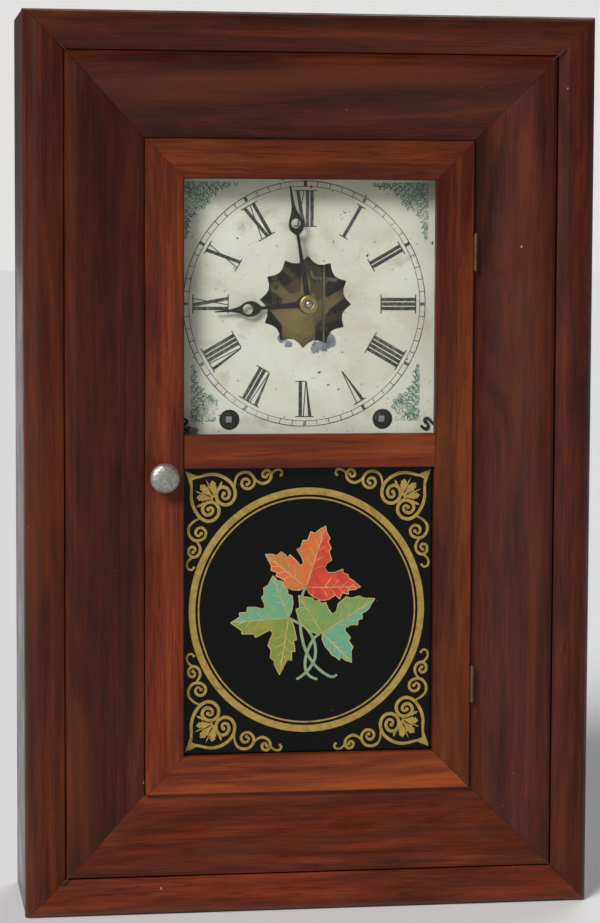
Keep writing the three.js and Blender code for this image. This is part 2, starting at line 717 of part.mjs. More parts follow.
function makeTimeTrain() {
  // Minute arbor: centre wheel, pinion and cannon pinion on one arbor, and the hand's washer.
  const centre = join(
    gear(CENTRE_WHEEL, 0, { arms: 4, hub: 6, rim: 3.2 }),
    gear(CENTRE_PINION, 0),
    gear(CANNON, 0),
    barY(2.4, -42, 20.5, [0, 0], 12),
    barY(3.4, -8, -2, [0, 0], 12),
    barY(6.9, -40.6, -39, [0, 0], 20),
  );
  add("centre_arbor", centre, "brass", CENTRE);

  const secondPhase = meshed(CENTRE, CENTRE_PINION, 0, SECOND_AT, SECOND);
  const second = join(
    gear(SECOND, secondPhase, { arms: 4, hub: 6.5, rim: 4.5 }),
    gear(SECOND_PINION, 0),
    barY(1.4, -14.6, 20.2, [0, 0], 10),
  );
  add("second_wheel", second, "brass", SECOND_AT);

  const greatPhase = meshed(SECOND_AT, SECOND_PINION, 0, TIME_DRUM, GREAT);
  const great = gear(GREAT, greatPhase, { bore: 3.4, arms: 4, hub: 9, rim: 5 });
  add("time_great_wheel", great, "brass", TIME_DRUM);

  const thirdPhase = meshed(CENTRE, CENTRE_WHEEL, 0, THIRD_AT, THIRD_PINION);
  const third = join(
    gear(THIRD, 0, { arms: 4, hub: 5, rim: 3.2 }),
    gear(THIRD_PINION, thirdPhase),
    barY(1, -14.6, 20.2, [0, 0], 8),
  );
  add("third_wheel", third, "brass", THIRD_AT);

  // Escape wheel in front of the front plate, driven from between the plates.
  const escapePhase = meshed(THIRD_AT, THIRD, 0, ESCAPE, ESCAPE_PINION);
  const { count, tip, root, y } = ESCAPE_TEETH;
  const rack = [];
  for (let i = 0; i < count; i++) {
    const angle = (2 * Math.PI * i) / count;
    rack.push(polar(root, angle - 0.06), polar(tip, angle - 0.015), polar(root, angle + 0.03));
  }
  const windows = [0, 1, 2, 3].map((i) => window(i, 4, 4, root - 2.4));
  const escape = join(
    slab(rack, y[0], y[1], windows),
    gear(ESCAPE_PINION, escapePhase),
    barY(1.1, -20.4, 20.2, [0, 0], 8),
  );
  add("escape_wheel", escape, "brass", ESCAPE);
}

function makeMotionWork() {
  const motionPhase = meshed(CENTRE, CANNON, 0, MOTION_AT, MOTION);
  const motion = join(
    gear(MOTION, motionPhase, { arms: 4, hub: 5.6, rim: 3.4 }),
    gear(MOTION_PINION, 0),
    barY(1.1, -14.6, -7, [0, 0], 8),
  );
  add("motion_wheel", motion, "brass", MOTION_AT);

  const hourPhase = meshed(MOTION_AT, MOTION_PINION, 0, CENTRE, HOUR);
  const pipe = barY(4.6, -35.6, HOUR.y[1], [0, 0], 16);
  const bore = barY(3, -40, -5, [0, 0], 12);
  add("hour_wheel", cut(join(gear(HOUR, hourPhase), pipe), bore), "brass", CENTRE);
}

function makeDrums() {
  for (const [train, , at] of TRAINS) {
    // Barrel with a front flange, on an arbor that ends in a square for the winding key.
    const drum = join(
      barY(DRUM.radius, DRUM.front, DRUM.back, [0, 0], 16),
      barY(15.5, DRUM.front, DRUM.front + 1.2, [0, 0], 16),
      barY(3, -15, 20.6, [0, 0], 12),
      box(-2.2, 2.2, -25.5, -14, -2.2, 2.2),
    );
    add(`${train}_drum`, drum, "steel", at);
  }
}

// The strike great wheel carries a pinion that turns the count wheel, whose slots space the
// strokes of each hour.
function makeCountWork() {
  const bore = barY(3.4, 10, 20, [0, 0], 12);
  const great = join(gear(GREAT, 0, { arms: 4, hub: 9, rim: 5 }), gear(COUNT_PINION, 0));
  add("strike_great_wheel", cut(great, bore), "brass", STRIKE_DRUM);
  const countPhase = meshed(STRIKE_DRUM, COUNT_PINION, 0, COUNT_AT, COUNT);
  const rim = [];
  let strokes = 0;
  for (let hour = 1; hour <= 12; hour++) {
    strokes += hour;
    const at = (2 * Math.PI * strokes) / 78;
    rim.push(polar(20.6, at - 0.033), polar(17.4, at - 0.028));
    rim.push(polar(17.4, at + 0.028), polar(20.6, at + 0.033));
  }
  const count = join(
    gear(COUNT, countPhase, { arms: 4, hub: 5.6, rim: 6.5 }),
    slab(rim, 16.1, 17.3, [circle(15.5, [0, 0], 16)]),
    barY(1.4, 14.6, 20.4, [0, 0], 8),
  );
  add("count_wheel", count, "brass", COUNT_AT);
}

function makeEscapement() {
  // Strip verge bent up at both ends, with a hub and the crutch that holds the pendulum wire in its fork.
  const strip = [
    [-11, 6.5],
    [-9.2, 7.5],
    [-7.4, 3],
    [8, 1.8],
    [9.4, 9],
    [11.2, 8.4],
    [10, -1.2],
    [-8.4, 0.6],
  ];
  const fork = FORK_Z - VERGE[1];
  const verge = cut(
    join(
      slab(strip, -21.5, -16.5),
      barY(3, -21.5, -16.5, [0, 0], 12),
      box(-0.8, 0.8, -21, -19.6, fork - 1, -1.5),
      box(-2.3, 2.3, -21.4, -19.4, fork - 1, fork + 1),
      box(-2.3, -1.3, -26, -19.4, fork - 1, fork + 1),
      box(1.3, 2.3, -26, -19.4, fork - 1, fork + 1),
    ),
    barY(1.45, -30, -10, [0, 0], 12),
  );
  add("verge", verge, "steel", VERGE);

  const { x, y, top, bob, wire } = PENDULUM;
  const rod = join(
    box(x - 0.25, x + 0.25, y - 1.5, y + 1.5, 484, top + 2.5),
    barZ(wire, 214, 486, [x, y], 8),
    barZ(3.6, 215.5, 218.5, [x, y], 12),
  );
  add("pendulum_rod", rod, "steel");
  const lens = [
    [0, -4.5],
    [9, -4.1],
    [17, -2.6],
    [22, -0.4],
    [22, 0.4],
    [17, 2.6],
    [9, 4.1],
    [0, 4.5],
  ];
  const disc = turned(lens.map(([r, d]) => [r, y + d]), 24, [x, bob]);
  add("pendulum_bob", cut(disc, barZ(1.2, 200, 290, [x, y], 8)), "brass");
}

function makeStrike() {
  // Hammer: an arbor through the back plate, a long wire and a round head beside the gong.
  const headZ = GONG.centre[1] - HAMMER[1];
  const hammer = join(
    barY(1.5, 15.2, 45, [0, 0], 10),
    barZ(1.2, headZ, 0, [0, GONG.y], 8),
    barX(6, -13, 1, [GONG.y, headZ], 12),
  );
  add("hammer", hammer, "steel", HAMMER);

  // Gong: a flat coil of wire brazed to a stud on the backboard.
  const points = Array.from({ length: GONG.steps + 1 }, (_, i) => {
    const t = i / GONG.steps;
    const radius = GONG.outer - (GONG.outer - GONG.inner) * t;
    const [gx, gz] = polar(radius, Math.PI - 2 * Math.PI * GONG.turns * t, GONG.centre);
    return new THREE.Vector3(gx, GONG.y, gz);
  });
  const coil = sweep(points, GONG.wire, 6);
  const inner = points[GONG.steps];
  const backboardFront = CASE.back - BOX.backboard;
  const stud = barY(5, GONG.y - 2, backboardFront - 0.5, [inner.x, inner.z], 12);
  add("gong", join(coil, stud), "steel");
}

// A route through points that lie in one plane of constant y, with frames that don't twist.
class PlaneRoute extends THREE.Curve {
  constructor(points) {
    super();
    this.points = points;
  }
  getSpacedPoints() {
    return this.points;
  }
  computeFrenetFrames() {
    const last = this.points.length - 1;
    const binormals = this.points.map(() => new THREE.Vector3(0, 1, 0));
    const tangents = this.points.map((_, i) =>
      this.points[Math.min(i + 1, last)].clone().sub(this.points[Math.max(i - 1, 0)]).normalize(),
    );
    const normals = tangents.map((t, i) => binormals[i].clone().cross(t));
    return { tangents, normals, binormals };
  }
}
// A tube of the given radius along such a route.
function sweep(points, radius, sides) {
  const outline = circle(radius, [0, 0], sides).map(([a, b]) => new THREE.Vector2(a, b));
  const geometry = new THREE.ExtrudeGeometry(new THREE.Shape(outline), {
    steps: points.length - 1,
    extrudePath: new PlaneRoute(points),
    bevelEnabled: false,
  });
  return solid(geometry);
}

// ---------------------------------------------------------------- weights, cords and pulleys
function makeWeights() {
  for (const [train, sign, drum] of TRAINS) {
    const x = sign * WEIGHT.x;
    const halfWidth = WEIGHT.width / 2;
    const halfDepth = WEIGHT.depth / 2;
    const top = WEIGHT.base + WEIGHT.height;
    const body = box(x - halfWidth, x + halfWidth, CORD.y - halfDepth, CORD.y + halfDepth, WEIGHT.base, top);
    const eye = turnedRing(6, 1.6, [x, top + 6]);
    add(`${train}_weight`, join(body, eye, barZ(1.8, top - 1, top + 2, [x, CORD.y], 8)), "cast_iron");

    // Pulley on its pin, which lies across the slot on the pulley board.
    const groove = PULLEY.groove - 2.4;
    const wheel = [
      [0, CORD.y - 3.4],
      [PULLEY.rim, CORD.y - 3.4],
      [PULLEY.rim, CORD.y - 2.4],
      [groove, CORD.y - 1.4],
      [groove, CORD.y + 1.4],
      [PULLEY.rim, CORD.y + 2.4],
      [PULLEY.rim, CORD.y + 3.4],
      [0, CORD.y + 3.4],
    ];
    const pin = barY(1.6, CORD.y - 12, CORD.y + 12, [0, 0], 10);
    add(`${train}_pulley`, join(turned(wheel, 20), pin), "pine", [sign * PULLEY.x, PULLEY.z]);

    // Cord: from the drum's inner side up over the pulley and down to the eye of the weight.
    const wound = DRUM.radius + CORD.radius + 0.35;
    const rise = [sign * PULLEY.x - drum[0], PULLEY.z - drum[1]];
    const length = Math.hypot(...rise);
    const lean = Math.asin((PULLEY.groove - wound) / length);
    // Angle, seen from the drum and the pulley alike, of the point where the straight run touches.
    const touch = Math.atan2(rise[1], sign * rise[0]) + Math.PI / 2 + lean;
    const onArc = (centreAt, radius, angle) => {
      const [px, pz] = polar(radius, angle);
      return new THREE.Vector3(centreAt[0] + sign * px, CORD.y, centreAt[1] + pz);
    };
    const points = [];
    for (let i = 0; i <= 6; i++) points.push(onArc(drum, wound, touch + ((6 - i) / 6) * 2.2));
    const pulleyAt = [sign * PULLEY.x, PULLEY.z];
    for (let i = 0; i <= 10; i++) points.push(onArc(pulleyAt, PULLEY.groove, touch - (i / 10) * touch));
    points.push(new THREE.Vector3(x, CORD.y, top + 16.5));
    add(`${train}_cord`, sweep(points, CORD.radius, 8), "cord");
  }
}
// A ring standing in the x-z plane.
function turnedRing(radius, wire, [x, z]) {
  const section = circle(wire, [radius, 0], 6).map(([r, y]) => [r, y + CORD.y]);
  return turned([...section, section[0]], 16, [x, z]);
}

makeCase();
makeMouldings();
makeDoor();
makeHinges();
makeKnob();
makeDial();
makeHands();
makePlates();
makeTimeTrain();
makeMotionWork();
makeDrums();
makeCountWork();
makeEscapement();
makeStrike();
makeWeights();

export default clock;
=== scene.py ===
"""Looks for the thirty-hour ogee shelf clock.

Materials, dial painting, gilt tablet, cords, camera and light.
"""
import math

import bmesh
import bpy
from mathutils import Matrix, Vector


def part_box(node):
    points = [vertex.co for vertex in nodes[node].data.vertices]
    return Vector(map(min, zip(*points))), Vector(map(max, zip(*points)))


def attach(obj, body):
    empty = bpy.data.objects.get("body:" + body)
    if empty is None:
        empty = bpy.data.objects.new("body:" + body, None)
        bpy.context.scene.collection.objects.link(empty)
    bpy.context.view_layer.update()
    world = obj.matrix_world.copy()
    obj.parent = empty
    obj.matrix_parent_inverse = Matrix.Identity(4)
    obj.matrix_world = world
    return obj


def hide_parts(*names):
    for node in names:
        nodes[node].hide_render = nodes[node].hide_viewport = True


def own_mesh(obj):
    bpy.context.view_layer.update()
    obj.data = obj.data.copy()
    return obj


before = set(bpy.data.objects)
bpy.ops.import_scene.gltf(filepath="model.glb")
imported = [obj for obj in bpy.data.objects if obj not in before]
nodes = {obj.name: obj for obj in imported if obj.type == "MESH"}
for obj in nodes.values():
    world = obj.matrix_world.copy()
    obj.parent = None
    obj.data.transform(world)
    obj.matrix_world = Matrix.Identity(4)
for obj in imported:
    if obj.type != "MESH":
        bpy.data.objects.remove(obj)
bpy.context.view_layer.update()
MM = 0.001

# ---- measures taken from the frame
def centre_of(node):
    low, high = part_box(node)
    return (low + high) / 2

DIAL_LOW, DIAL_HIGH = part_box("dial_plate")
DIAL_FACE = DIAL_LOW.y
DIAL_CENTRE = ((DIAL_LOW.x + DIAL_HIGH.x) / 2, (DIAL_LOW.z + DIAL_HIGH.z) / 2)
TABLET_LOW, TABLET_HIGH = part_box("tablet_glass")
TABLET_FACE = TABLET_LOW.y
TABLET_CENTRE = ((TABLET_LOW.x + TABLET_HIGH.x) / 2, (TABLET_LOW.z + TABLET_HIGH.z) / 2)
RABBET = 5.7 * MM  # how far each glass runs behind its frame
PRINT_GAP, PRINT_THICK = 0.02 * MM, 0.06 * MM  # paint: distance off its ground, thickness

# ---- camera, light and floor
def linked(name, data):
    """A new object that is part of the scene."""
    made = bpy.data.objects.new(name, data)
    bpy.context.scene.collection.objects.link(made)
    return made

def aim(obj, place, yaw, pitch, roll):
    """Turns a camera from looking along +Y by yaw, pitch and roll, in degrees."""
    turn = Matrix.Rotation(math.radians(yaw), 4, "Z")
    turn @= Matrix.Rotation(math.radians(90 + pitch), 4, "X")
    turn @= Matrix.Rotation(math.radians(roll), 4, "Z")
    obj.matrix_world = Matrix.Translation(place) @ turn

CAMERA = {"place": (-0.3209, -2.0651, 0.4968), "yaw": -8.834, "pitch": -4.584, "roll": 0.23}
PICTURE_HEIGHT, LENS = 36, 108.5  # millimetres

def make_camera():
    data = bpy.data.cameras.new("camera")
    data.sensor_fit = "VERTICAL"
    data.sensor_height = PICTURE_HEIGHT
    data.lens = LENS
    data.clip_start = 0.05
    camera = linked("camera", data)
    aim(camera, CAMERA["place"], CAMERA["yaw"], CAMERA["pitch"], CAMERA["roll"])
    bpy.context.scene.camera = camera

def sun(name, source, power, spread):
    """Even light from the direction of source, its shadow edges softened by spread degrees."""
    data = bpy.data.lights.new(name, "SUN")
    data.energy = power
    data.angle = math.radians(spread)
    lamp = linked(name, data)
    lamp.matrix_world = (-Vector(source)).to_track_quat("-Z", "Y").to_matrix().to_4x4()

KEY = {"source": (-0.515, -0.668, 0.542), "power": 3.25, "spread": 21}
FILL = {"source": (0.6, -0.7, 0.35), "power": 0.12, "spread": 60}
BACK = {"source": (0.45, 0.8, 0.75), "power": 0.85, "spread": 40}
AMBIENT = 0.085  # light that the surroundings give
STUDIO_WALL = 0.77  # how pale the far background looks
FLOOR_REACH = 40  # half the side of the floor, in metres

def make_light():
    """A dim, even surround that looks pale to the camera, with a soft key light from the upper left."""
    world = bpy.data.worlds.new("studio")
    bpy.context.scene.world = world
    world.use_nodes = True
    tree = world.node_tree
    background = tree.nodes["Background"]
    seen = tree.nodes.new("ShaderNodeLightPath").outputs["Is Camera Ray"]
    level = tree.nodes.new("ShaderNodeMapRange")
    level.inputs["To Min"].default_value = AMBIENT
    level.inputs["To Max"].default_value = STUDIO_WALL
    tree.links.new(seen, level.inputs["Value"])
    tree.links.new(level.outputs["Result"], background.inputs["Strength"])
    background.inputs["Color"].default_value = (1.0, 0.99, 0.98, 1)
    for name, light in (("key", KEY), ("fill", FILL), ("back", BACK)):
        sun(name, light["source"], light["power"], light["spread"])
    bpy.context.scene.view_settings.view_transform = "Standard"

def make_floor():
    corners = [(FLOOR_REACH * x, FLOOR_REACH * y, 0) for x, y in ((-1, -1), (1, -1), (1, 1), (-1, 1))]
    mesh = bpy.data.meshes.new("floor")
    mesh.from_pydata(corners, [], [(0, 1, 2, 3)])
    floor = linked("floor", mesh)
    material = bpy.data.materials.new("floor")
    material.use_nodes = True
    shader = material.node_tree.nodes["Principled BSDF"]
    shader.inputs["Base Color"].default_value = (0.86, 0.86, 0.86, 1)
    shader.inputs["Roughness"].default_value = 0.7
    mesh.materials.append(material)

# ---- material helpers
class Graph:
    """A material's node tree, with short calls for the nodes used here."""

    def __init__(self, name):
        self.material = bpy.data.materials.new(name)
        self.material.use_nodes = True
        self.tree = self.material.node_tree
        self.shader = self.tree.nodes["Principled BSDF"]
        self.coordinates = self.tree.nodes.new("ShaderNodeTexCoord").outputs["Object"]

    def put(self, value, socket):
        if isinstance(value, bpy.types.NodeSocket):
            self.tree.links.new(value, socket)
        else:
            socket.default_value = (*value, 1)[:4] if socket.type == "RGBA" else value

    def node(self, kind, inputs=(), **settings):
        made = self.tree.nodes.new(kind)
        for key, value in settings.items():
            setattr(made, key, value)
        for key, value in dict(inputs).items():
            self.put(value, made.inputs[key])
        return made

    def stretched(self, scale, shift=(0, 0, 0)):
        inputs = {"Vector": self.coordinates, "Scale": scale, "Location": shift}
        return self.node("ShaderNodeMapping", inputs).outputs["Vector"]

    def noise(self, scale, detail=4, vector=None, distortion=0.0, roughness=0.5):
        inputs = {"Vector": vector or self.coordinates, "Scale": scale, "Detail": detail}
        inputs |= {"Distortion": distortion, "Roughness": roughness}
        return self.node("ShaderNodeTexNoise", inputs).outputs["Fac"]

    def ramp(self, value, *stops):
        made = self.node("ShaderNodeValToRGB", {"Fac": value})
        elements = made.color_ramp.elements
        while len(elements) < len(stops):
            elements.new(0.5)
        for element, (place, colour) in zip(elements, stops):
            element.position = place
            element.color = (*colour, 1) if hasattr(colour, "__len__") else (colour, colour, colour, 1)
        return made.outputs["Color"]

    def mix(self, factor, a, b, blend="MIX"):
        made = self.node("ShaderNodeMix", data_type="RGBA", blend_type=blend)
        for index, value in ((0, factor), (6, a), (7, b)):
            self.put(value, made.inputs[index])
        return made.outputs[2]

    def math(self, operation, a, b=0.0):
        made = self.node("ShaderNodeMath", operation=operation)
        for index, value in enumerate((a, b)):
            self.put(value, made.inputs[index])
        return made.outputs[0]

    def spread(self, value, low, high, source=(0.0, 1.0)):
        start, end = source
        inputs = {"Value": value, "From Min": start, "From Max": end, "To Min": low, "To Max": high}
        return self.node("ShaderNodeMapRange", inputs).outputs["Result"]

    def bump(self, height, distance, strength=1.0):
        inputs = {"Height": height, "Distance": distance, "Strength": strength}
        bump = self.node("ShaderNodeBump", inputs)
        self.tree.links.new(bump.outputs["Normal"], self.shader.inputs["Normal"])

    def finish(self, **inputs):
        for key, value in inputs.items():
            self.put(value, self.shader.inputs[key.replace("_", " ")])
        return self.material

def along(axis, grain, across):
    """Noise scales that draw a pattern out along one axis."""
    return tuple(grain if letter == axis else across for letter in "XYZ")

def times(tone, tint):
    return tuple(a * b for a, b in zip(tone, tint))

WARM = (1.0, 1.2, 0.95)  # tint of the orange-brown streaks against the light tone
COOL = (0.95, 1.35, 1.9)  # tint of the dull dark streaks against the dark tone

def wood(name, axis, tones, gloss=0.34, shift=(0, 0, 0), coat=0.08, chips=True, mottle=1.0):
    """Polished wood, its grain along the named axis; tones are dark, middle and light."""
    g = Graph(name)
    dark, middle, light = tones
    figure = g.noise(1, 7, g.stretched(along(axis, 5, 42), shift), 1.2, 0.62)
    streaks = g.noise(1, 5, g.stretched(along(axis, 6, 240), shift), 0.4, 0.7)
    pores = g.noise(1, 3, g.stretched(along(axis, 60, 1500), shift))
    broad = g.noise(7, 2, g.stretched((1, 1, 1), shift))
    colour = g.ramp(figure, (0.3, dark), (0.5, middle), (0.72, light))
    colour = g.mix(g.spread(streaks, 0.0, 0.85, (0.4, 0.68)), colour, dark)
    colour = g.mix(g.spread(pores, 0.55, 0.0, (0.36, 0.5)), colour, tuple(c * 0.35 for c in dark))
    colour = g.mix(g.spread(broad, 0.0, 0.45, (0.35, 0.7)), colour, light, "SOFT_LIGHT")
    warm = g.noise(1, 6, g.stretched(along(axis, 2.6, 27), shift), 1.3, 0.66)
    colour = g.mix(g.spread(warm, 0.0, 0.6 * mottle, (0.46, 0.66)), colour, times(light, WARM))
    cool = g.noise(1, 6, g.stretched(along(axis, 3.4, 40), tuple(s + 5 for s in shift)), 1.2, 0.68)
    colour = g.mix(g.spread(cool, 0.0, 0.72 * mottle, (0.47, 0.66)), colour, times(dark, COOL))
    if chips:
        nicks = g.ramp(g.noise(95, 2, g.stretched((1, 1, 1), shift), 0.8), (0.775, 0.0), (0.79, 1.0))
        colour = g.mix(nicks, colour, (0.3, 0.19, 0.12))
    relief = g.mix(0.5, g.ramp(pores, (0.4, 0), (0.55, 1)), g.ramp(figure, (0.2, 0), (0.8, 1)))
    g.bump(relief, 0.12 * MM, 0.55)
    rough = g.spread(g.noise(30, 3), gloss - 0.05, gloss + 0.14, (0.3, 0.7))
    return g.finish(
        Base_Color=colour, Roughness=rough, Coat_Weight=coat, Coat_Roughness=0.2, Specular_IOR_Level=0.17
    )

VENEER = ((0.026, 0.0038, 0.0012), (0.078, 0.0106, 0.0024), (0.126, 0.0185, 0.0036))
DOOR_VENEER = ((0.048, 0.0066, 0.0016), (0.132, 0.0205, 0.0042), (0.22, 0.0415, 0.008))
PINE = ((0.12, 0.065, 0.03), (0.23, 0.135, 0.066), (0.33, 0.21, 0.11))

def metal(name, colour, dark, roughness=0.35, spots=60, tarnish=0.5):
    g = Graph(name)
    cloud = g.noise(spots, 6, None, 0.6, 0.65)
    tone = g.mix(g.spread(cloud, 0.0, tarnish * 1.6, (0.42, 0.75)), colour, dark)
    fine = g.noise(900, 3)
    g.bump(fine, 0.05 * MM, 0.4)
    rough = g.spread(cloud, roughness - 0.06, roughness + 0.25, (0.35, 0.75))
    return g.finish(Base_Color=tone, Metallic=0.92, Roughness=rough)

def plate_brass():
    """Brass with painted shade: near black away from the centre arbor, where the dial hides the plate, and
    lighter round the arbor, where the dial's hole shows it.
    """
    g = Graph("plate_brass")
    split = g.node("ShaderNodeSeparateXYZ", {"Vector": g.coordinates}).outputs
    x = g.math("SUBTRACT", split["X"], DIAL_CENTRE[0])
    z = g.math("SUBTRACT", split["Z"], DIAL_CENTRE[1] - 8 * MM)
    distance = g.math("SQRT", g.math("ADD", g.math("MULTIPLY", x, x), g.math("MULTIPLY", z, z)))
    cloud = g.noise(60, 6, None, 0.6, 0.65)
    tone = g.mix(g.spread(cloud, 0.0, 0.8, (0.42, 0.75)), (0.36, 0.27, 0.095), (0.16, 0.1, 0.035))
    # painted shade: the plate darkens to near black beyond the dial's centre hole
    tone = g.mix(g.spread(distance, 0, 0.88, (24 * MM, 42 * MM)), tone, (0.035, 0.024, 0.012))
    g.bump(g.noise(900, 3), 0.05 * MM, 0.4)
    return g.finish(Base_Color=tone, Metallic=0.9, Roughness=g.spread(cloud, 0.34, 0.6, (0.35, 0.75)))

def pewter():
    """Worn, pitted silver-grey metal."""
    g = Graph("pewter")
    pits = g.node("ShaderNodeTexVoronoi", {"Vector": g.coordinates, "Scale": 620.0}).outputs["Distance"]
    cloud = g.noise(240, 5, None, 1.0, 0.7)
    pitted = g.math("MULTIPLY", g.spread(pits, 1.0, 0.0, (0.05, 0.38)), g.spread(cloud, 0, 1, (0.45, 0.62)))
    tone = g.mix(g.spread(cloud, 0, 1, (0.3, 0.7)), (0.5, 0.49, 0.46), (0.2, 0.19, 0.175))
    tone = g.mix(pitted, tone, (0.035, 0.032, 0.03))
    g.bump(g.math("SUBTRACT", cloud, pitted), 0.35 * MM, 0.9)
    return g.finish(Base_Color=tone, Metallic=0.85, Roughness=g.spread(cloud, 0.28, 0.55, (0.3, 0.7)))

def cast_iron():
    g = Graph("cast_iron")
    cloud = g.noise(70, 7, None, 0.3, 0.7)
    grit = g.noise(700, 4)
    dark, brown, rust = (0.022, 0.021, 0.02), (0.05, 0.042, 0.036), (0.11, 0.055, 0.03)
    tone = g.ramp(cloud, (0.35, dark), (0.6, brown), (0.75, rust))
    g.bump(g.mix(0.5, g.ramp(cloud, (0.2, 0), (0.8, 1)), g.ramp(grit, (0.3, 0), (0.7, 1))), 0.6 * MM, 0.9)
    return g.finish(Base_Color=tone, Metallic=0.4, Roughness=0.72)

def cotton():
    g = Graph("cotton_cord")
    fibres = g.noise(1800, 3)
    tone = g.ramp(fibres, (0.3, (0.3, 0.24, 0.14)), (0.7, (0.62, 0.53, 0.36)))
    g.bump(fibres, 0.15 * MM, 0.8)
    return g.finish(Base_Color=tone, Roughness=0.92, Sheen_Weight=0.3)

def clear_glass():
    g = Graph("clear_glass")
    ripple = g.noise(14, 2)
    g.bump(ripple, 0.2 * MM, 0.3)
    return g.finish(Base_Color=(0.35, 0.38, 0.37), Alpha=0.035, Roughness=0.03, IOR=1.5)

def black_tablet():
    """Glass painted black on the back, with a few pinholes and scuffs in the paint."""
    g = Graph("black_tablet")
    specks = g.ramp(g.noise(330, 2, None, 0.4), (0.74, 0.0), (0.77, 1.0))
    tone = g.mix(specks, (0.0022, 0.0024, 0.0026), (0.035, 0.035, 0.03))
    return g.finish(Base_Color=tone, Roughness=0.07, Specular_IOR_Level=0.12)

def gilding():
    g = Graph("gilding")
    cloud = g.noise(150, 6, None, 1.0, 0.7)
    dark, middle, light = (0.2, 0.125, 0.024), (0.34, 0.225, 0.045), (0.45, 0.32, 0.075)
    tone = g.ramp(cloud, (0.3, dark), (0.48, middle), (0.7, light))
    worn = g.ramp(g.noise(420, 4, None, 0.5), (0.7, 0.0), (0.74, 1.0))
    return g.finish(Base_Color=g.mix(worn, tone, (0.05, 0.03, 0.012)), Metallic=0.25, Roughness=0.42)

def leaf_paint(name, colour, second, third):
    g = Graph(name)
    cloud = g.noise(85, 5, None, 1.4, 0.65)
    tone = g.ramp(cloud, (0.36, second), (0.5, colour), (0.66, third))
    return g.finish(Base_Color=tone, Roughness=0.3, Coat_Weight=0.4, Coat_Roughness=0.08)

def print_ink(name, colour, wear, grain_wear, ground=(0.6, 0.6, 0.49)):
    """Ink on the dial, worn through to the ground by wear in patches and by grain_wear in the grain."""
    g = Graph(name)
    patches = g.noise(36, 5, None, 0.4, 0.65)
    scratches = g.noise(1, 4, g.stretched((500, 500, 120)), 0.3, 0.6)
    worn = g.math("MULTIPLY", g.spread(patches, 0, 1, (0.5, 0.62)), g.spread(scratches, 0, 1, (0.4, 0.56)))
    grain = g.spread(g.noise(620, 3), 0, grain_wear, (0.5, 0.72))
    tone = g.mix(grain, colour, ground)
    tone = g.mix(g.math("MULTIPLY", worn, wear), tone, ground)
    return g.finish(Base_Color=tone, Roughness=0.6)

def dial_paint():
    """Aged cream paint on zinc, cloudy and speckled, worn to grey metal in places."""
    g = Graph("dial_paint")
    split = g.node("ShaderNodeSeparateXYZ", {"Vector": g.coordinates}).outputs
    cloud = g.noise(16, 6, None, 0.6, 0.6)
    stained, aged, clean = (0.48, 0.45, 0.33), (0.61, 0.605, 0.485), (0.68, 0.695, 0.59)
    base = g.ramp(cloud, (0.3, stained), (0.47, aged), (0.68, clean))
    fine = g.noise(1, 3, g.stretched((900, 900, 420)))
    base = g.mix(g.spread(fine, 0.0, 0.22, (0.45, 0.7)), base, (0.44, 0.43, 0.33))
    # the paint darkens towards the top of the dial
    high = g.spread(split["Z"], 0.0, 0.55, (DIAL_CENTRE[1] + 0.06, DIAL_HIGH.z))
    base = g.mix(high, base, (0.4, 0.38, 0.27))
    for scale, threshold, colour in ((210, 0.735, (0.05, 0.05, 0.05)), (420, 0.72, (0.16, 0.14, 0.1))):
        specks = g.ramp(g.noise(scale, 2, None, 0.3), (threshold, 0.0), (threshold + 0.02, 1.0))
        base = g.mix(specks, base, colour)
    stain = g.ramp(g.noise(38, 4, None, 0.5), (0.6, 0.0), (0.74, 0.75))
    base = g.mix(stain, base, (0.42, 0.36, 0.23))
    edge = g.noise(120, 5, None, 0.2, 0.7)
    bare = None
    for dx, dz, radius in LOSSES:
        x = g.math("SUBTRACT", split["X"], DIAL_CENTRE[0] + dx * MM)
        z = g.math("SUBTRACT", split["Z"], DIAL_CENTRE[1] + dz * MM)
        distance = g.math("SQRT", g.math("ADD", g.math("MULTIPLY", x, x), g.math("MULTIPLY", z, z)))
        fray = 0.55 * radius * MM
        ragged = g.math("ADD", distance, g.spread(edge, -fray, fray, (0.34, 0.66)))
        spot = g.spread(ragged, 1.0, 0.0, (radius * MM * 0.93, radius * MM))
        bare = spot if bare is None else g.math("MAXIMUM", bare, spot)
    zinc = g.ramp(g.noise(160, 4), (0.35, (0.1, 0.11, 0.125)), (0.65, (0.23, 0.245, 0.26)))
    tone = g.mix(bare, base, zinc)
    g.bump(g.math("SUBTRACT", g.spread(fine, 0, 0.3), bare), 0.08 * MM, 0.5)
    return g.finish(Base_Color=tone, Roughness=g.spread(cloud, 0.45, 0.62), Specular_IOR_Level=0.4)

# Paint loss on the dial: offsets from the dial's centre and radius, in millimetres.
LOSSES = (
    (13, -31, 5.5),
    (18, -27, 4.5),
    (7, -33, 3.5),
    (-18.5, -26, 3.2),
    (-13.5, -30, 2.6),
    (-91, -93, 5),
    (-84, -94, 3),
)

# ---- shapes
def angles(steps):
    """Evenly spaced angles round a circle."""
    return [2 * math.pi * i / steps for i in range(steps)]

def new_object(name, mesh, material, body):
    obj = linked(name, mesh)
    mesh.materials.append(material)
    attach(obj, body)
    return obj

def from_bmesh(name, bm, material, body, smooth=False):
    bmesh.ops.recalc_face_normals(bm, faces=bm.faces)
    mesh = bpy.data.meshes.new(name)
    bm.to_mesh(mesh)
    bm.free()
    if smooth:
        mesh.shade_smooth()
    return new_object(name, mesh, material, body)

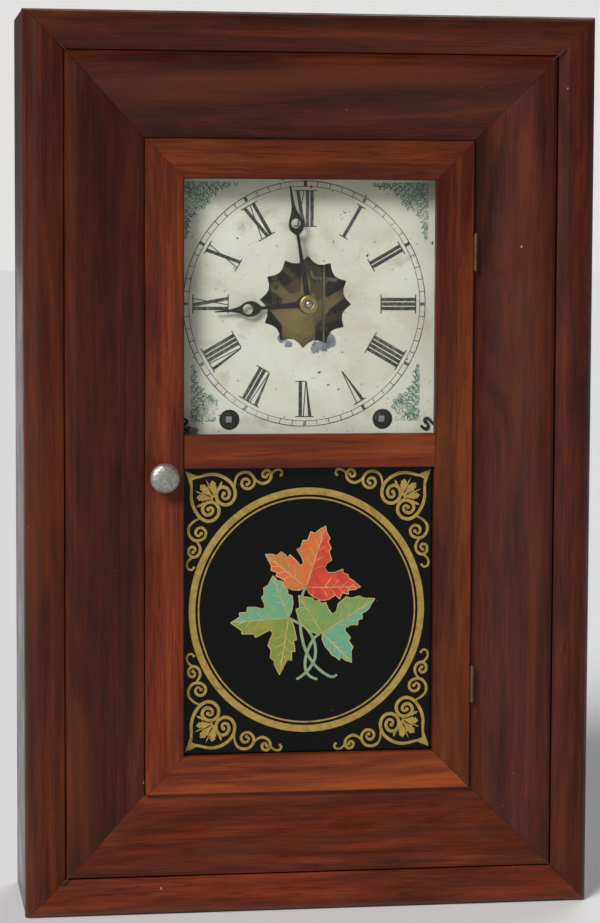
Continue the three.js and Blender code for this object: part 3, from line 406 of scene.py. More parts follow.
class Flat:
    """Shapes drawn in the front view, in metres, that become one thin piece facing -Y."""

    def __init__(self, y, thickness=0.12 * MM):
        self.bm = bmesh.new()
        self.y = y
        self.thickness = thickness

    def step(self):
        """Each shape stands proud of the one before, so that overlaps share no face."""
        self.thickness += 0.0004 * MM

    def prism(self, outline):
        self.step()
        front = [self.bm.verts.new((x, self.y - self.thickness, z)) for x, z in outline]
        back = [self.bm.verts.new((x, self.y, z)) for x, z in outline]
        faces = [self.bm.faces.new(front), self.bm.faces.new(back[::-1])]
        count = len(outline)
        for i in range(count):
            j = (i + 1) % count
            faces.append(self.bm.faces.new((front[j], front[i], back[i], back[j])))
        bmesh.ops.recalc_face_normals(self.bm, faces=faces)

    def band(self, left, right, closed=False):
        """A strip between two lines."""
        self.step()
        rows = [
            [self.bm.verts.new((x, self.y - depth, z)) for x, z in line]
            for line, depth in ((left, self.thickness), (right, self.thickness), (right, 0), (left, 0))
        ]
        count = len(left)
        faces = []
        for i in range(count if closed else count - 1):
            j = (i + 1) % count
            for a, b in ((0, 1), (1, 2), (2, 3), (3, 0)):
                faces.append(self.bm.faces.new((rows[a][i], rows[b][i], rows[b][j], rows[a][j])))
        if not closed:
            faces.append(self.bm.faces.new([row[0] for row in rows]))
            faces.append(self.bm.faces.new([row[-1] for row in rows][::-1]))
        bmesh.ops.recalc_face_normals(self.bm, faces=faces)

    def ring(self, centre, inner, outer, steps=180, squeeze=1.0):
        def line(radius):
            wide, (x, z) = radius * squeeze, centre
            return [(x + wide * math.cos(a), z + radius * math.sin(a)) for a in angles(steps)]

        self.band(line(inner), line(outer), closed=True)

    def piece(self, name, material, body):
        return from_bmesh(name, self.bm, material, body)

def smooth_line(points, steps=6):
    """Catmull-Rom curve through the points."""
    padded = [points[0], *points, points[-1]]
    line = []
    for i in range(1, len(padded) - 2):
        a, b, c, d = (Vector(p) for p in padded[i - 1 : i + 3])
        for k in range(steps):
            t = k / steps
            square = (2 * a - 5 * b + 4 * c - d) * t * t
            cube = (3 * b - a - 3 * c + d) * t**3
            line.append(0.5 * (2 * b + (c - a) * t + square + cube))
    return [*line, Vector(points[-1])]

def ribbon(flat, points, width, place, ends=0.45, steps=6):
    """A stroke through points, thinner at both ends; place maps each point to the front view."""
    line = smooth_line(points, steps)
    left, right = [], []
    last = len(line) - 1
    for i, point in enumerate(line):
        step = (line[min(i + 1, last)] - line[max(i - 1, 0)]).normalized()
        share = min(i, last - i) / last
        half = width / 2 * (ends + (1 - ends) * min(1, share * 5))
        side = Vector((-step.y, step.x)) * half
        left.append(place(point + side))
        right.append(place(point - side))
    flat.band(left, right)

def lathe(name, profile, steps, material, body, centre):
    """A smooth turned piece about a Y axis through centre, from (radius, y) points in metres."""
    bm = bmesh.new()
    rings = []
    for radius, y in profile:
        if radius < 1e-7:
            rings.append([bm.verts.new((centre[0], y, centre[1]))])
        else:
            around = [(radius * math.cos(a), radius * math.sin(a)) for a in angles(steps)]
            rings.append([bm.verts.new((centre[0] + x, y, centre[1] + z)) for x, z in around])
    for a, b in zip(rings, rings[1:]):
        for i in range(steps):
            j = (i + 1) % steps
            corners = [a[i % len(a)], a[j % len(a)], b[j % len(b)], b[i % len(b)]]
            unique = list(dict.fromkeys(corners))
            if len(unique) > 2:
                bm.faces.new(unique)
    return from_bmesh(name, bm, material, body, smooth=True)

# ---- CAD nodes that keep their shape
def pale_arris_wear_and_highlight(name, tones):
    """The arris of a veneered member: paler along the edge, partly where the finish has rubbed through and
    partly as a painted highlight.
    """
    g = Graph(name)
    # pale patches along the arris: partly rubbed-through finish, partly painted highlight
    rubbed_and_highlit = g.spread(g.noise(24, 5, None, 0.8, 0.7), 0.0, 0.9, (0.46, 0.62))
    tone = g.mix(g.noise(300, 3), tones[1], tones[2])
    tone = g.mix(rubbed_and_highlit, tone, (0.3, 0.165, 0.085))
    return g.finish(Base_Color=tone, Roughness=0.5)

def dress(names, material, bevel=0.0, edge=None):
    for name in names:
        obj = nodes[name]
        obj.data.materials.clear()
        obj.data.materials.append(material)
        if edge:
            obj.data.materials.append(edge)
        obj.data.shade_smooth()
        obj.data.set_sharp_from_angle(angle=math.radians(30))
        if bevel:
            modifier = obj.modifiers.new("soft edges", "BEVEL")
            modifier.width = bevel * MM
            modifier.segments = 2
            modifier.limit_method = "ANGLE"
            modifier.angle_limit = math.radians(35)
            modifier.material = 1 if edge else -1
        modifier = obj.modifiers.new("flat faces", "WEIGHTED_NORMAL")
        modifier.keep_sharp = True

# How much lighter each member is than the rest, partly for paler or darker veneer and partly as painted
# light for how much light each member catches: outer moulding, ogee moulding, door member.
MEMBER_TONE_AND_PAINTED_LIGHT = {
    "left": (1.15, 0.9, 1.22), "right": (1.03, 0.92, 0.88), "top": (1, 0.9, 0.93), "bottom": (2, 1.75, 1.45),
}
MIDDLE_RAIL_TONE_AND_PAINTED_LIGHT = 1.18
GRAIN_SHIFT = {"left": (0, 0, 0), "right": (3, 0, 1), "top": (0, 2, 5), "bottom": (7, 1, 0)}

def tinted(tones, gain):
    return tuple(tuple(c * gain for c in tone) for tone in tones)

def moved(shift, step):
    return tuple(s + step for s in shift)

def pine(name, axis, gloss, shift=(0, 0, 0)):
    return wood(name, axis, PINE, gloss, shift, coat=0.0, mottle=0.2)

def dress_case():
    for side, axis in (("left", "Z"), ("right", "Z"), ("top", "X"), ("bottom", "X")):
        shift = GRAIN_SHIFT[side]
        # each member's tones are scaled partly for its veneer and partly as painted light
        outer_gain, ogee_gain, door_gain = MEMBER_TONE_AND_PAINTED_LIGHT[side]
        outer = wood(f"outer_veneer_{side}", axis, tinted(VENEER, outer_gain), 0.4, shift)
        dress([f"outer_moulding_{side}"], outer, 0.4, pale_arris_wear_and_highlight(f"outer_edge_{side}", VENEER))
        tones = tinted(VENEER, ogee_gain)
        ogee = wood(f"ogee_veneer_{side}", axis, tones, 0.33, moved(shift, 11), 0.12)
        dress([f"ogee_moulding_{side}"], ogee, 0.3, pale_arris_wear_and_highlight(f"ogee_edge_{side}", VENEER))
        tones = tinted(DOOR_VENEER, door_gain)
        door = wood(f"door_veneer_{side}", axis, tones, 0.36, moved(shift, 23))
        dress([f"door_member_{side}"], door, 0.35, pale_arris_wear_and_highlight(f"door_edge_{side}", DOOR_VENEER))
    # the middle rail is lighter partly for its veneer and partly as painted light
    tones = tinted(DOOR_VENEER, MIDDLE_RAIL_TONE_AND_PAINTED_LIGHT)
    dress(["door_member_middle"], wood("door_veneer_middle", "X", tones, 0.36, (31, 0, 4)), 0.35)
    dress(["case_side_left", "case_side_right"], wood("side_veneer", "Z", VENEER, 0.3, coat=0.25), 0.4)
    dress(["case_top", "case_bottom"], wood("case_ends", "X", VENEER, 0.5, coat=0.1), 0.3)
    dress(["backboard"], pine("backboard_pine", "Z", 0.75), 0.4)
    dress(["partition_left", "partition_right"], pine("partition_pine", "Z", 0.7, (2, 2, 2)), 0.4)
    rails = ["pulley_board", "movement_rail_upper", "movement_rail_lower"]
    dress(rails, pine("rail_pine", "X", 0.7, (5, 1, 3)), 0.4)
    dress(["time_pulley", "strike_pulley"], pine("pulley_wood", "Y", 0.5, (1, 4, 2)), 0.3)

def dress_metal():
    brass = metal("brass", (0.36, 0.27, 0.095), (0.16, 0.1, 0.035), 0.38)
    dull_brass = metal("hinge_brass", (0.13, 0.08, 0.035), (0.03, 0.018, 0.01), 0.5)
    steel = metal("steel", (0.42, 0.42, 0.42), (0.14, 0.13, 0.12), 0.32)
    wheels = ["second_wheel", "time_great_wheel", "strike_great_wheel", "third_wheel", "escape_wheel"]
    wheels += ["motion_wheel", "hour_wheel", "count_wheel", "centre_arbor", "back_plate"]
    dress(["front_plate"], plate_brass(), 0.15)
    # the wheels and back plate take a darker brass than the front plate: partly tarnish, partly painted
    # shade for the movement lying in shadow behind the dial
    dress(wheels, metal("wheel_brass", (0.2, 0.125, 0.045), (0.05, 0.03, 0.013), 0.42))
    dress(["door_latch"], brass, 0.2)
    dress([n for n in nodes if n.startswith("hinge_")], dull_brass)
    dress(["time_drum", "strike_drum", "hammer", "gong"], steel)
    # a darker steel than the rest, for the verge
    dress(["verge"], metal("dark_verge_steel", (0.17, 0.165, 0.15), (0.06, 0.05, 0.04), 0.45))
    dress(["pendulum_rod"], metal("brass_wire", (0.26, 0.21, 0.08), (0.12, 0.09, 0.03), 0.4))
    dress(["time_weight", "strike_weight"], cast_iron(), 1.2)
    black = metal("black_steel", (0.012, 0.012, 0.013), (0.05, 0.035, 0.025), 0.36, tarnish=0.3)
    dress(["minute_hand", "hour_hand"], black, 0.18)
    return brass, steel, black

# ---- dial
NUMERALS = ["XII", "I", "II", "III", "IIII", "V", "VI", "VII", "VIII", "IX", "X", "XI"]
NUMERAL_BASE, NUMERAL_TOP = 57.2, 83.4
THICK, THIN, SERIF = 2.6, 0.78, 0.85
SERIF_REACH = 2.7
GLYPH_WIDTH = {"I": 3.35, "V": 6.4, "X": 6.6}
PRINT_CENTRE = (DIAL_CENTRE[0] - 1.4 * MM, DIAL_CENTRE[1])

def on_print(across, out, turn):
    """A point of the dial's print, across and outwards from its centre, turned clockwise."""
    x = across * math.cos(turn) + out * math.sin(turn)
    z = out * math.cos(turn) - across * math.sin(turn)
    return (PRINT_CENTRE[0] + x * MM, PRINT_CENTRE[1] + z * MM)

def bar(flat, turn, start, end, width, foot=None):
    """A printed bar between two (across, out) points; foot is the width of its inner end."""
    half = width / 2
    inner = half if foot is None else foot / 2
    corners = [(start[0] - inner, start[1]), (start[0] + inner, start[1])]
    corners += [(end[0] + half, end[1]), (end[0] - half, end[1])]
    flat.prism([on_print(*corner, turn) for corner in corners])

def serif(flat, turn, left, right, out):
    inner, outer = out - SERIF / 2, out + SERIF / 2
    corners = ((left, inner), (right, inner), (right, outer), (left, outer))
    flat.prism([on_print(*corner, turn) for corner in corners])

def numeral(flat, word, turn):
    total = sum(GLYPH_WIDTH[letter] for letter in word)
    left = -total / 2
    low, high = NUMERAL_BASE, NUMERAL_TOP
    foot = None
    for letter in word:
        width = GLYPH_WIDTH[letter]
        middle = left + width / 2
        arm = 2.35
        if letter == "I":
            bar(flat, turn, (middle, low), (middle, high), THICK)
        elif letter == "V":
            bar(flat, turn, (middle + 0.5, low), (middle - arm, high), THICK, 0.7)
            bar(flat, turn, (middle + 0.8, low), (middle + arm + 0.3, high), THIN)
        else:
            bar(flat, turn, (middle + arm, low), (middle - arm, high), THICK)
            bar(flat, turn, (middle - arm, low), (middle + arm, high), THIN)
        if letter != "V":
            foot = (left if foot is None else foot[0], left + width)
        left += width
    serif(flat, turn, -total / 2 + 0.7 - SERIF_REACH, total / 2 - 0.7 + SERIF_REACH, high)
    if foot:
        serif(flat, turn, foot[0] + 0.7 - SERIF_REACH, foot[1] - 0.7 + SERIF_REACH, low)

def make_numerals():
    flat = Flat(DIAL_FACE - PRINT_GAP, PRINT_THICK)
    for hour, word in enumerate(NUMERALS):
        numeral(flat, word, math.radians(hour * 30))
    flat.piece("dial_numerals", print_ink("numeral_ink", (0.008, 0.008, 0.008), 0.15, 0.16), "root")

def make_minute_ring():
    flat = Flat(DIAL_FACE - PRINT_GAP, PRINT_THICK)
    flat.ring(PRINT_CENTRE, 90.2 * MM, 90.9 * MM)
    flat.ring(PRINT_CENTRE, 86.3 * MM, 86.8 * MM)
    for minute in range(60):
        bar(flat, math.radians(minute * 6), (0, 86.5), (0, 90.5), 2.3 if minute % 5 == 0 else 0.6)
    flat.piece("dial_minute_ring", print_ink("ring_ink", (0.01, 0.01, 0.01), 0.5, 0.25), "root")

WINDING_HOLE = 7.7  # radius of each winding hole
# The door's opening, from the dial's centre: left, bottom, right and top.
OPENING = (-94, -94.3, 93, 91.5)
# Dial spandrels: rows of small curls, as (across, down, size, opening angle) in millimetres from the corner,
# the stems that join them, and leaves as (across, down, angle). Each is also mirrored on the diagonal.
SPANDREL_CURLS = (
    (4.2, 4, 2.6, 200), (9.2, 3.6, 2.4, 150), (14, 3.7, 2.3, 210), (18.6, 3.5, 2.1, 160),
    (23, 3.6, 2, 215), (27.4, 3.3, 1.9, 165), (31.4, 3.5, 1.8, 210), (35.2, 3.2, 1.7, 170),
    (38.8, 3.4, 1.5, 200), (42, 3.2, 1.3, 180), (8.4, 8.4, 2.6, 45), (13.4, 8.6, 2.4, 20),
    (18.2, 8.2, 2.2, 60), (22.6, 8, 2, 15), (26.6, 7.4, 1.8, 50), (12.8, 12.8, 2.5, 45),
    (17.6, 12.8, 2.1, 10), (21.6, 12, 1.8, 65), (16.8, 16.8, 2.1, 45), (20.6, 16.2, 1.6, 20),
)
SPANDREL_STEMS = (
    ((2.4, 6.2), (7, 2), (12, 5.6), (16.4, 1.9), (21, 5.4), (25.4, 1.9), (29.6, 5), (33.4, 1.9),
     (37, 4.8), (44, 3.6)),
    ((5, 5), (10.8, 6.4), (15.8, 10.6), (20.6, 6.4), (24.6, 9.4), (28.6, 6)),
    ((6, 6), (10.6, 10.6), (15.2, 15.2), (19.6, 19)),
)
SPANDREL_LEAVES = (
    (6.6, 6.4, 45), (11.4, 6, 10), (16, 6, -30), (20.4, 5.8, 30), (25, 5.6, -20), (29.4, 5.4, 35),
    (33.4, 4.9, -25), (11, 10.8, 70), (15.6, 10.8, 5), (19.8, 10.2, 60), (15.2, 14.8, 20),
    (19.4, 14.4, 70), (24.4, 9.8, 10), (37.2, 4.6, 20),
)

def curl(x, z, size, angle):
    """Points of a small spiral about (x, z) that opens towards the angle."""
    points = []
    for i in range(9):
        turn = math.radians(angle + i * 52)
        radius = size * (1 - 0.085 * i)
        points.append((x + radius * math.cos(turn), z + radius * math.sin(turn)))
    return points

def corner_place(low, high, sx, sz, flip):
    """Maps (across, down) from a corner of a rectangle to the front view; flip mirrors on the diagonal."""

    def place(point):
        across, down = (point[1], point[0]) if flip else (point[0], point[1])
        x = high[0] - across * MM if sx > 0 else low[0] + across * MM
        z = high[1] - down * MM if sz > 0 else low[1] + down * MM
        return (x, z)

    return place

def teardrop(flat, centre, angle, length, width, place):
    """A small pointed leaf."""
    tilt = math.radians(angle)
    cos, sin = math.cos(tilt), math.sin(tilt)
    outline = []
    for t in angles(12):
        u = length / 2 * math.cos(t)
        v = width / 2 * math.sin(t) * (0.55 + 0.45 * math.cos(t / 2) ** 2)
        outline.append(place((centre[0] + u * cos - v * sin, centre[1] + u * sin + v * cos)))
    flat.prism(outline)

def dot(flat, centre, radius, place):
    """The round end of a scroll."""
    outline = [(centre[0] + radius * math.cos(a), centre[1] + radius * math.sin(a)) for a in angles(14)]
    flat.prism([place(point) for point in outline])

def lobe(flat, root, tip, width, place):
    """A palmette lobe: a narrow stalk that swells to a scalloped end at the tip."""
    root, tip = Vector(root), Vector(tip)
    reach = tip - root
    side = Vector((-reach.y, reach.x)).normalized()
    shape = ((0.1, 0.1), (0.35, 0.16), (0.55, 0.36), (0.68, 0.5), (0.76, 0.34), (0.86, 0.46), (0.92, 0.28))
    right = [root + reach * t + side * width * w for t, w in shape]
    left = [root + reach * t - side * width * w for t, w in shape]
    flat.prism([place(point) for point in [*right, tip + reach * 0.04, *left[::-1]]])

def make_spandrels():
    """Filigree in the dial's corners, clear of the winding holes."""
    flat = Flat(DIAL_FACE - PRINT_GAP, PRINT_THICK)
    left, bottom, right, top = (offset * MM for offset in OPENING)
    low = (DIAL_CENTRE[0] + left, DIAL_CENTRE[1] + bottom)
    high = (DIAL_CENTRE[0] + right, DIAL_CENTRE[1] + top)
    holes = [centre_of("time_drum"), centre_of("strike_drum")]

    def clear(point, margin):
        spans = [math.hypot(point[0] - hole.x, point[1] - hole.z) for hole in holes]
        beyond = point[1] < holes[0].z + 14 * MM and abs(point[0]) < holes[0].x
        return min(spans) > (WINDING_HOLE + margin) * MM and not beyond

    for sx in (-1, 1):
        for sz in (-1, 1):
            inset = 6.0 if sz < 0 else 0.4
            for flip in (False, True):
                place = corner_place(low, high, sx, sz, flip)

                def inward(point, place=place, inset=inset):
                    return place((point[0] + inset, point[1] + inset))

                for stem in SPANDREL_STEMS:
                    kept = [p for p in stem if clear(inward(p), 2.0)]
                    if len(kept) > 2:
                        ribbon(flat, kept, 0.75, inward, steps=4)
                for x, z, size, angle in SPANDREL_CURLS:
                    if clear(inward((x, z)), size + 0.6):
                        ribbon(flat, curl(x, z, size, angle), 0.8, inward, steps=2)
                for x, z, angle in SPANDREL_LEAVES:
                    if clear(inward((x, z)), 3.2):
                        teardrop(flat, (x, z), angle, 3.6, 1.7, inward)
                        teardrop(flat, (x + 1.0, z + 1.0), angle + 60, 2.8, 1.3, inward)
    flat.piece("dial_spandrels", print_ink("spandrel_green", (0.04, 0.15, 0.1), 0.9, 0.5), "root")

def make_dial():
    dress(["dial_plate"], dial_paint())
    make_numerals()
    make_minute_ring()
    make_spandrels()

# ---- tablet
RING = {"x": -0.9, "outer": 91.1, "inner": 86.0, "line": 84.2, "line_inner": 83.0, "squeeze": 0.968}
# One corner ornament: the width and the points of each stroke, as (across, down) in millimetres from the
# opening's corner.
HEART = 2.4
ARM = 2.05
SCROLLS = (
    (HEART, ((2.6, 4.6), (5.6, 7.2), (11.5, 6.8), (17.6, 5.3), (23.9, 5.1), (30.2, 7.3), (35.5, 11.5),
        (38.2, 16.7),
             (38.2, 22), (35.5, 26.2), (31, 27.6), (26.6, 25.6), (24.6, 21.6), (25.3, 17), (28.6, 14.4),
             (32.4, 15.4), (34.3, 18.9), (33.2, 22.4), (30.3, 23), (28.9, 20.9), (30.1, 19.2))),
    (HEART, ((2.6, 4.6), (5.6, 8.6), (6.2, 16.7), (6.2, 23.1), (8.1, 29.9), (12.3, 36.3),
        (17.6, 39.4), (22.8, 38.4),
             (26.2, 34.4), (26.1, 29.4), (22.8, 25.9), (18.2, 25.8), (14.8, 28.6), (14.7, 32.4),
             (17.6, 34.9),
             (21.2, 33.6), (22, 30.6), (20, 29.3), (18.6, 30.6))),
    (ARM, ((38.2, 14.5), (38.6, 9.6), (40.6, 5.6), (44.4, 3.7), (49.2, 4.3), (52.4, 8), (52.5, 12.3),
        (49.4, 15.6),
           (45.4, 15.3), (43.3, 12.3), (44.6, 9), (47.8, 8.9), (49.2, 11.2), (47.4, 12.7))),
    (ARM, ((51.6, 6.4), (54.6, 10.2), (59.3, 12), (63.8, 9.8), (65.2, 5.6), (62.9, 2.4), (59.6, 3.3),
        (59, 6.4),
           (61.4, 7.5), (62.5, 5.6))),
    (1.6, ((64.2, 8.8), (66, 4.4), (68.8, 2.3), (72, 2.2), (73.4, 4.6), (72.4, 6))),
    (ARM, ((13, 37), (7.8, 39.8), (4.3, 43.8), (4.3, 48.9), (7.3, 52.9), (11.8, 53.6), (15.8, 51.6),
        (16.8, 47.4),
           (14, 44.3), (10.4, 45.2), (9.3, 48.4), (11.4, 50.4), (13.4, 48.6))),
    (ARM, ((8.8, 53.2), (11.6, 56.6), (12.7, 60.4), (11.2, 64.4), (7.4, 66), (4.3, 63.6), (4.5, 59.6),
        (7.4, 58.3),
           (9.1, 60.4), (7.4, 62.3))),
    (1.6, ((9.6, 64.8), (5.2, 67.4), (3, 70.6), (3.6, 74.3), (6.4, 75.3), (8.1, 73.7))),
)
# Palmette: each lobe runs from the root to its tip, with its width there.
PALMETTE_ROOT = (23.4, 23.2)
PALMETTE = ((13, 13, 6), (21.6, 9.9, 5.4), (10.2, 21.8, 5.4), (17, 9, 1), (9.1, 17.2, 1))
PALMETTE += ((28.6, 10.4, 2.2), (10.2, 28.8, 2.2))
HEART_TIP = ((1.6, 2.4), (9.6, 5.6), (9, 8.2), (6.4, 9.6), (5, 12.6))
# Leaves: the outline from the stalk round to the main tip, and on round to the stalk again.
LEAF_TOP = (
    ((-0.8, 16.9), (-6.4, 14.8), (-11.5, 15.2), (-18.8, 19.6), (-16.6, 22.5), (-23.4, 25.8),
     (-22.4, 28.3),
     (-27.1, 30), (-26.8, 33.1), (-31.4, 41.9), (-26.8, 42), (-22.8, 41), (-19.5, 43.7), (-15.9, 41.1),
     (-15.1, 38.7), (-12.9, 41.5), (-9.3, 38), (-4.9, 33.3), (-2.9, 34.9), (-3.8, 38.6), (-7.9, 45.4),
     (-4.9, 46.7),
     (-3.2, 52.1), (0.1, 52), (2.6, 58.4), (5.5, 56.9), (8.9, 59.8), (13.7, 62.4)),
    ((13.7, 62.4), (14.4, 57.8), (17, 53), (15.4, 51.1), (18, 45.7), (16.3, 43.9), (18.3, 37),
     (14.7, 34.8),
     (12.9, 31.2), (15.4, 27.8), (20.5, 27.8), (26.8, 30.2), (26.8, 27.6), (30.8, 25.8), (31.1, 23.5),
     (35.1, 21.1),
     (40, 16.7), (35.8, 14.8), (30.7, 14.4), (31.1, 11.3), (26.3, 12.5), (24.4, 7.8), (21.2, 11),
     (16.2, 7.6),
     (11.1, 7), (5.2, 9.4), (1.2, 12.8), (-0.8, 16.9)),
    ((-31.4, 41.9), (13.7, 62.4), (40, 16.7)),
)
LEAF_LEFT = (
    ((-13.8, -5.6), (-11.1, -8.2), (-9.3, -14.1), (-7.7, -22.1), (-10, -22.4), (-8.9, -30.8),
     (-11.5, -30.6),
     (-11.5, -37.4), (-14.8, -36.6), (-20.5, -47.9), (-24.2, -41), (-24.6, -37.4), (-27.4, -35.1),
     (-26.8, -29.3),
     (-29.2, -26), (-27.9, -21.9), (-25.6, -17), (-27.5, -14.4), (-31.1, -16), (-38.7, -19.8),
     (-39.6, -17.1),
     (-48.6, -17.1), (-48.9, -14.5), (-52.2, -12.1), (-57, -8.6)),
    ((-57, -8.6), (-53.7, -6.6), (-50.1, -4.2), (-50.8, -1.3), (-45, -0.9), (-44.7, 2.7), (-39.1, 2.9),
     (-32.9, 1.3), (-31.6, 3), (-32.2, 5.8), (-34.3, 9.9), (-32.3, 11.6), (-32.6, 17.1), (-29.4, 18.7),
     (-25.6, 25.9), (-22.4, 22.5), (-18.3, 21.4), (-18.3, 18.2), (-14.7, 15.9), (-14.4, 12.2),
     (-11.1, 10.7),
     (-10.5, 4.9), (-11.9, -1.6), (-13.8, -5.6)),
    ((-20.5, -47.9), (-57, -8.6), (-25.6, 25.9)),
)
LEAF_RIGHT = (
    ((11.5, -17.3), (6.9, -17.7), (2.3, -15.9), (-2, -12.6), (-6.4, -7.6), (-8.3, 0.6), (-5.5, 2),
     (-6.4, 11),
     (-2, 9.9), (4.2, 8.9), (6, 6.2), (8.9, 7.8), (10.3, 4.8), (14, 5.6), (15.7, 0.9), (19.1, -3.4),
     (22, -1.3),
     (23.4, 4.4), (29.2, 9.4), (33.6, 8.4), (39, 10), (43.1, 8.2), (51, 7.8)),
    ((51, 7.8), (48.2, 3.6), (46.7, 0.7), (43.8, -2), (41.3, -2.9), (41.6, -7.1), (38.4, -7.8),
     (38, -11.7),
     (33.6, -11.5), (28.8, -13.4), (28.5, -16), (32.9, -21.1), (31.1, -23.2), (34.8, -28.3),
     (33.2, -31.2),
     (33.7, -39.7), (29.2, -38.3), (25.6, -35.6), (24.4, -38), (21.2, -35.1), (18.8, -34.1),
     (16.9, -31.2),
     (13.2, -26.9), (11.3, -21.8), (11.5, -17.3)),
    ((-6.4, 11), (51, 7.8), (33.7, -39.7)),
)
STEMS = (
    ((-1, 17.4), (-3.6, 11.2), (-5, 0), (-5, -11.1), (-4, -19.2), (-1.4, -28.9), (3.9, -38.6),
     (11.1, -46),
     (18.4, -50.2), (22.6, -48.8)),
    ((-13.6, -5.6), (-8.2, -8.7), (-1.8, -12), (3.1, -18.6), (6.1, -26.7), (5.9, -36.3), (1.5, -44.2),
     (-3.4, -48.8), (-7.8, -51.6)),
    ((9.8, -17.6), (5.5, -21), (1.5, -28.1), (-1, -36), (-1, -44.1), (2.3, -49.4), (7.9, -51.9)),
)
VEIN, SIDE_VEIN, LEAF_EDGE = 0.75, 0.45, 0.6  # widths of the gilt lines

def on_tablet(point):
    """A point of the leaves and rings, given from their centre, in the front view."""
    return (TABLET_CENTRE[0] + (point[0] + RING["x"]) * MM, TABLET_CENTRE[1] + point[1] * MM)

def side_veins(flat, base, tip):
    """Short veins that branch from the main one, shorter towards the tip."""
    reach = tip - base
    normal = Vector((-reach.y, reach.x)).normalized() * min(reach.length, 40)
    for share, length in ((0.3, 0.19), (0.45, 0.16), (0.6, 0.11), (0.74, 0.06)):
        for turn in (1, -1):
            start = base + reach * (share + 0.03 * turn)
            end = start + reach * 0.13 + normal * length * turn
            bend = start.lerp(end, 0.5) + reach * 0.012
            ribbon(flat, (start, bend, end), SIDE_VEIN, on_tablet, steps=2)

def make_leaf(name, leaf, paints, veins):
    """Two painted halves that meet on the middle vein, with gilt edges and veins."""
    *halves, tips = leaf
    for half, paint, label in zip(halves, paints, "ab"):
        flat = Flat(TABLET_FACE - PRINT_GAP, PRINT_THICK)
        flat.prism([on_tablet(point) for point in half])
        flat.piece(f"{name}_{label}", paint, "door")
    edge = Flat(TABLET_FACE - 0.09 * MM, 0.03 * MM)
    for half in halves:
        for a, b in zip(half, half[1:]):
            ribbon(edge, (a, b), LEAF_EDGE, on_tablet, ends=1.0, steps=1)
    base = Vector(halves[0][0])
    for point in tips:
        tip = Vector(point)
        ribbon(edge, (base, base.lerp(tip, 0.5), base.lerp(tip, 0.95)), VEIN, on_tablet)
        side_veins(edge, base, tip)
    edge.piece(f"{name}_gilt", veins, "door")

def make_tablet():
    dress(["tablet_glass"], black_tablet())
    gilt = gilding()
    low = (TABLET_LOW.x + RABBET, TABLET_LOW.z + RABBET)
    high = (TABLET_HIGH.x - RABBET, TABLET_HIGH.z - RABBET)
    flat = Flat(TABLET_FACE - PRINT_GAP, PRINT_THICK)
    centre = on_tablet((0, 0))
    flat.ring(centre, RING["inner"] * MM, RING["outer"] * MM, squeeze=RING["squeeze"])
    flat.ring(centre, RING["line_inner"] * MM, RING["line"] * MM, squeeze=RING["squeeze"])
    flat.piece("tablet_gilt_rings", gilt, "door")
    flat = Flat(TABLET_FACE - PRINT_GAP, PRINT_THICK)
    for sx in (-1, 1):
        for sz in (-1, 1):
            place = corner_place(low, high, sx, sz, False)
            for width, stroke in SCROLLS:
                ribbon(flat, stroke, width, place, ends=0.6, steps=8)
                dot(flat, stroke[-1], width * 0.62, place)
            for x, z, breadth in PALMETTE:
                lobe(flat, PALMETTE_ROOT, (x, z), breadth, place)
            flat.prism([place(point) for point in HEART_TIP])
    flat.piece("tablet_gilt_corners", gilt, "door")

    veins = leaf_paint("vein_gilding", (0.44, 0.3, 0.1), (0.3, 0.19, 0.06), (0.55, 0.4, 0.16))
    orange = leaf_paint("leaf_orange", (0.55, 0.13, 0.018), (0.33, 0.15, 0.02), (0.62, 0.075, 0.015))
    red = leaf_paint("leaf_red", (0.56, 0.03, 0.01), (0.42, 0.02, 0.008), (0.6, 0.06, 0.015))
    teal = leaf_paint("leaf_teal", (0.1, 0.3, 0.17), (0.16, 0.33, 0.11), (0.085, 0.3, 0.22))
    olive = leaf_paint("leaf_olive", (0.17, 0.21, 0.018), (0.25, 0.25, 0.03), (0.12, 0.22, 0.03))
    green = leaf_paint("leaf_green", (0.14, 0.25, 0.05), (0.2, 0.27, 0.07), (0.1, 0.26, 0.1))
    make_leaf("leaf_top", LEAF_TOP, (orange, red), veins)
    make_leaf("leaf_left", LEAF_LEFT, (olive, teal), veins)
    make_leaf("leaf_right", LEAF_RIGHT, (green, teal), veins)
    stems = Flat(TABLET_FACE - PRINT_GAP, 0.05 * MM)
    for stem in STEMS:
        ribbon(stems, stem, 2.1, on_tablet, ends=0.8)
    pale = leaf_paint("stem_green", (0.2, 0.29, 0.15), (0.15, 0.24, 0.1), (0.26, 0.3, 0.15))
    stems.piece("leaf_stems", pale, "door")

# ---- small pieces
# The knob's radius and the distance behind its front, in millimetres.
KNOB_PROFILE = (
    (0, 0), (4.5, 0.25), (8, 1), (9.9, 2.2), (10.9, 3.6), (11, 4.6), (10.5, 5.9), (8.6, 7.2),
    (6.2, 8.2), (5, 9.6), (4.4, 12), (4.9, 14.2), (5.8, 15.3), (5.8, 15.7), (2.6, 15.7),
)
SPINDLE_RADIUS = 2.6

def make_knob():
    low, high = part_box("door_knob")
    centre = ((low.x + high.x) / 2, (low.z + high.z) / 2)
    curve = smooth_line(KNOB_PROFILE, 4)
    profile = [(max(p[0], 0) * MM, low.y + p[1] * MM) for p in curve]
    profile += [(SPINDLE_RADIUS * MM, high.y), (0, high.y)]
    knob = lathe("knob", profile, 48, pewter(), "door_catch", centre)
    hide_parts("door_knob")

def make_bob(brass):
    low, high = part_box("pendulum_bob")
    centre = ((low.x + high.x) / 2, (low.z + high.z) / 2)
    middle = (low.y + high.y) / 2
    radius, half = (high.x - low.x) / 2, (high.y - low.y) / 2
    profile = []
    for i in range(25):
        t = -math.pi / 2 + math.pi * i / 24
        profile.append((radius * math.cos(t) ** 0.75 if 0 < i < 24 else 0, middle + half * math.sin(t)))
    bob = lathe("pendulum_lens", profile, 56, brass, "pendulum", centre)
    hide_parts("pendulum_bob")

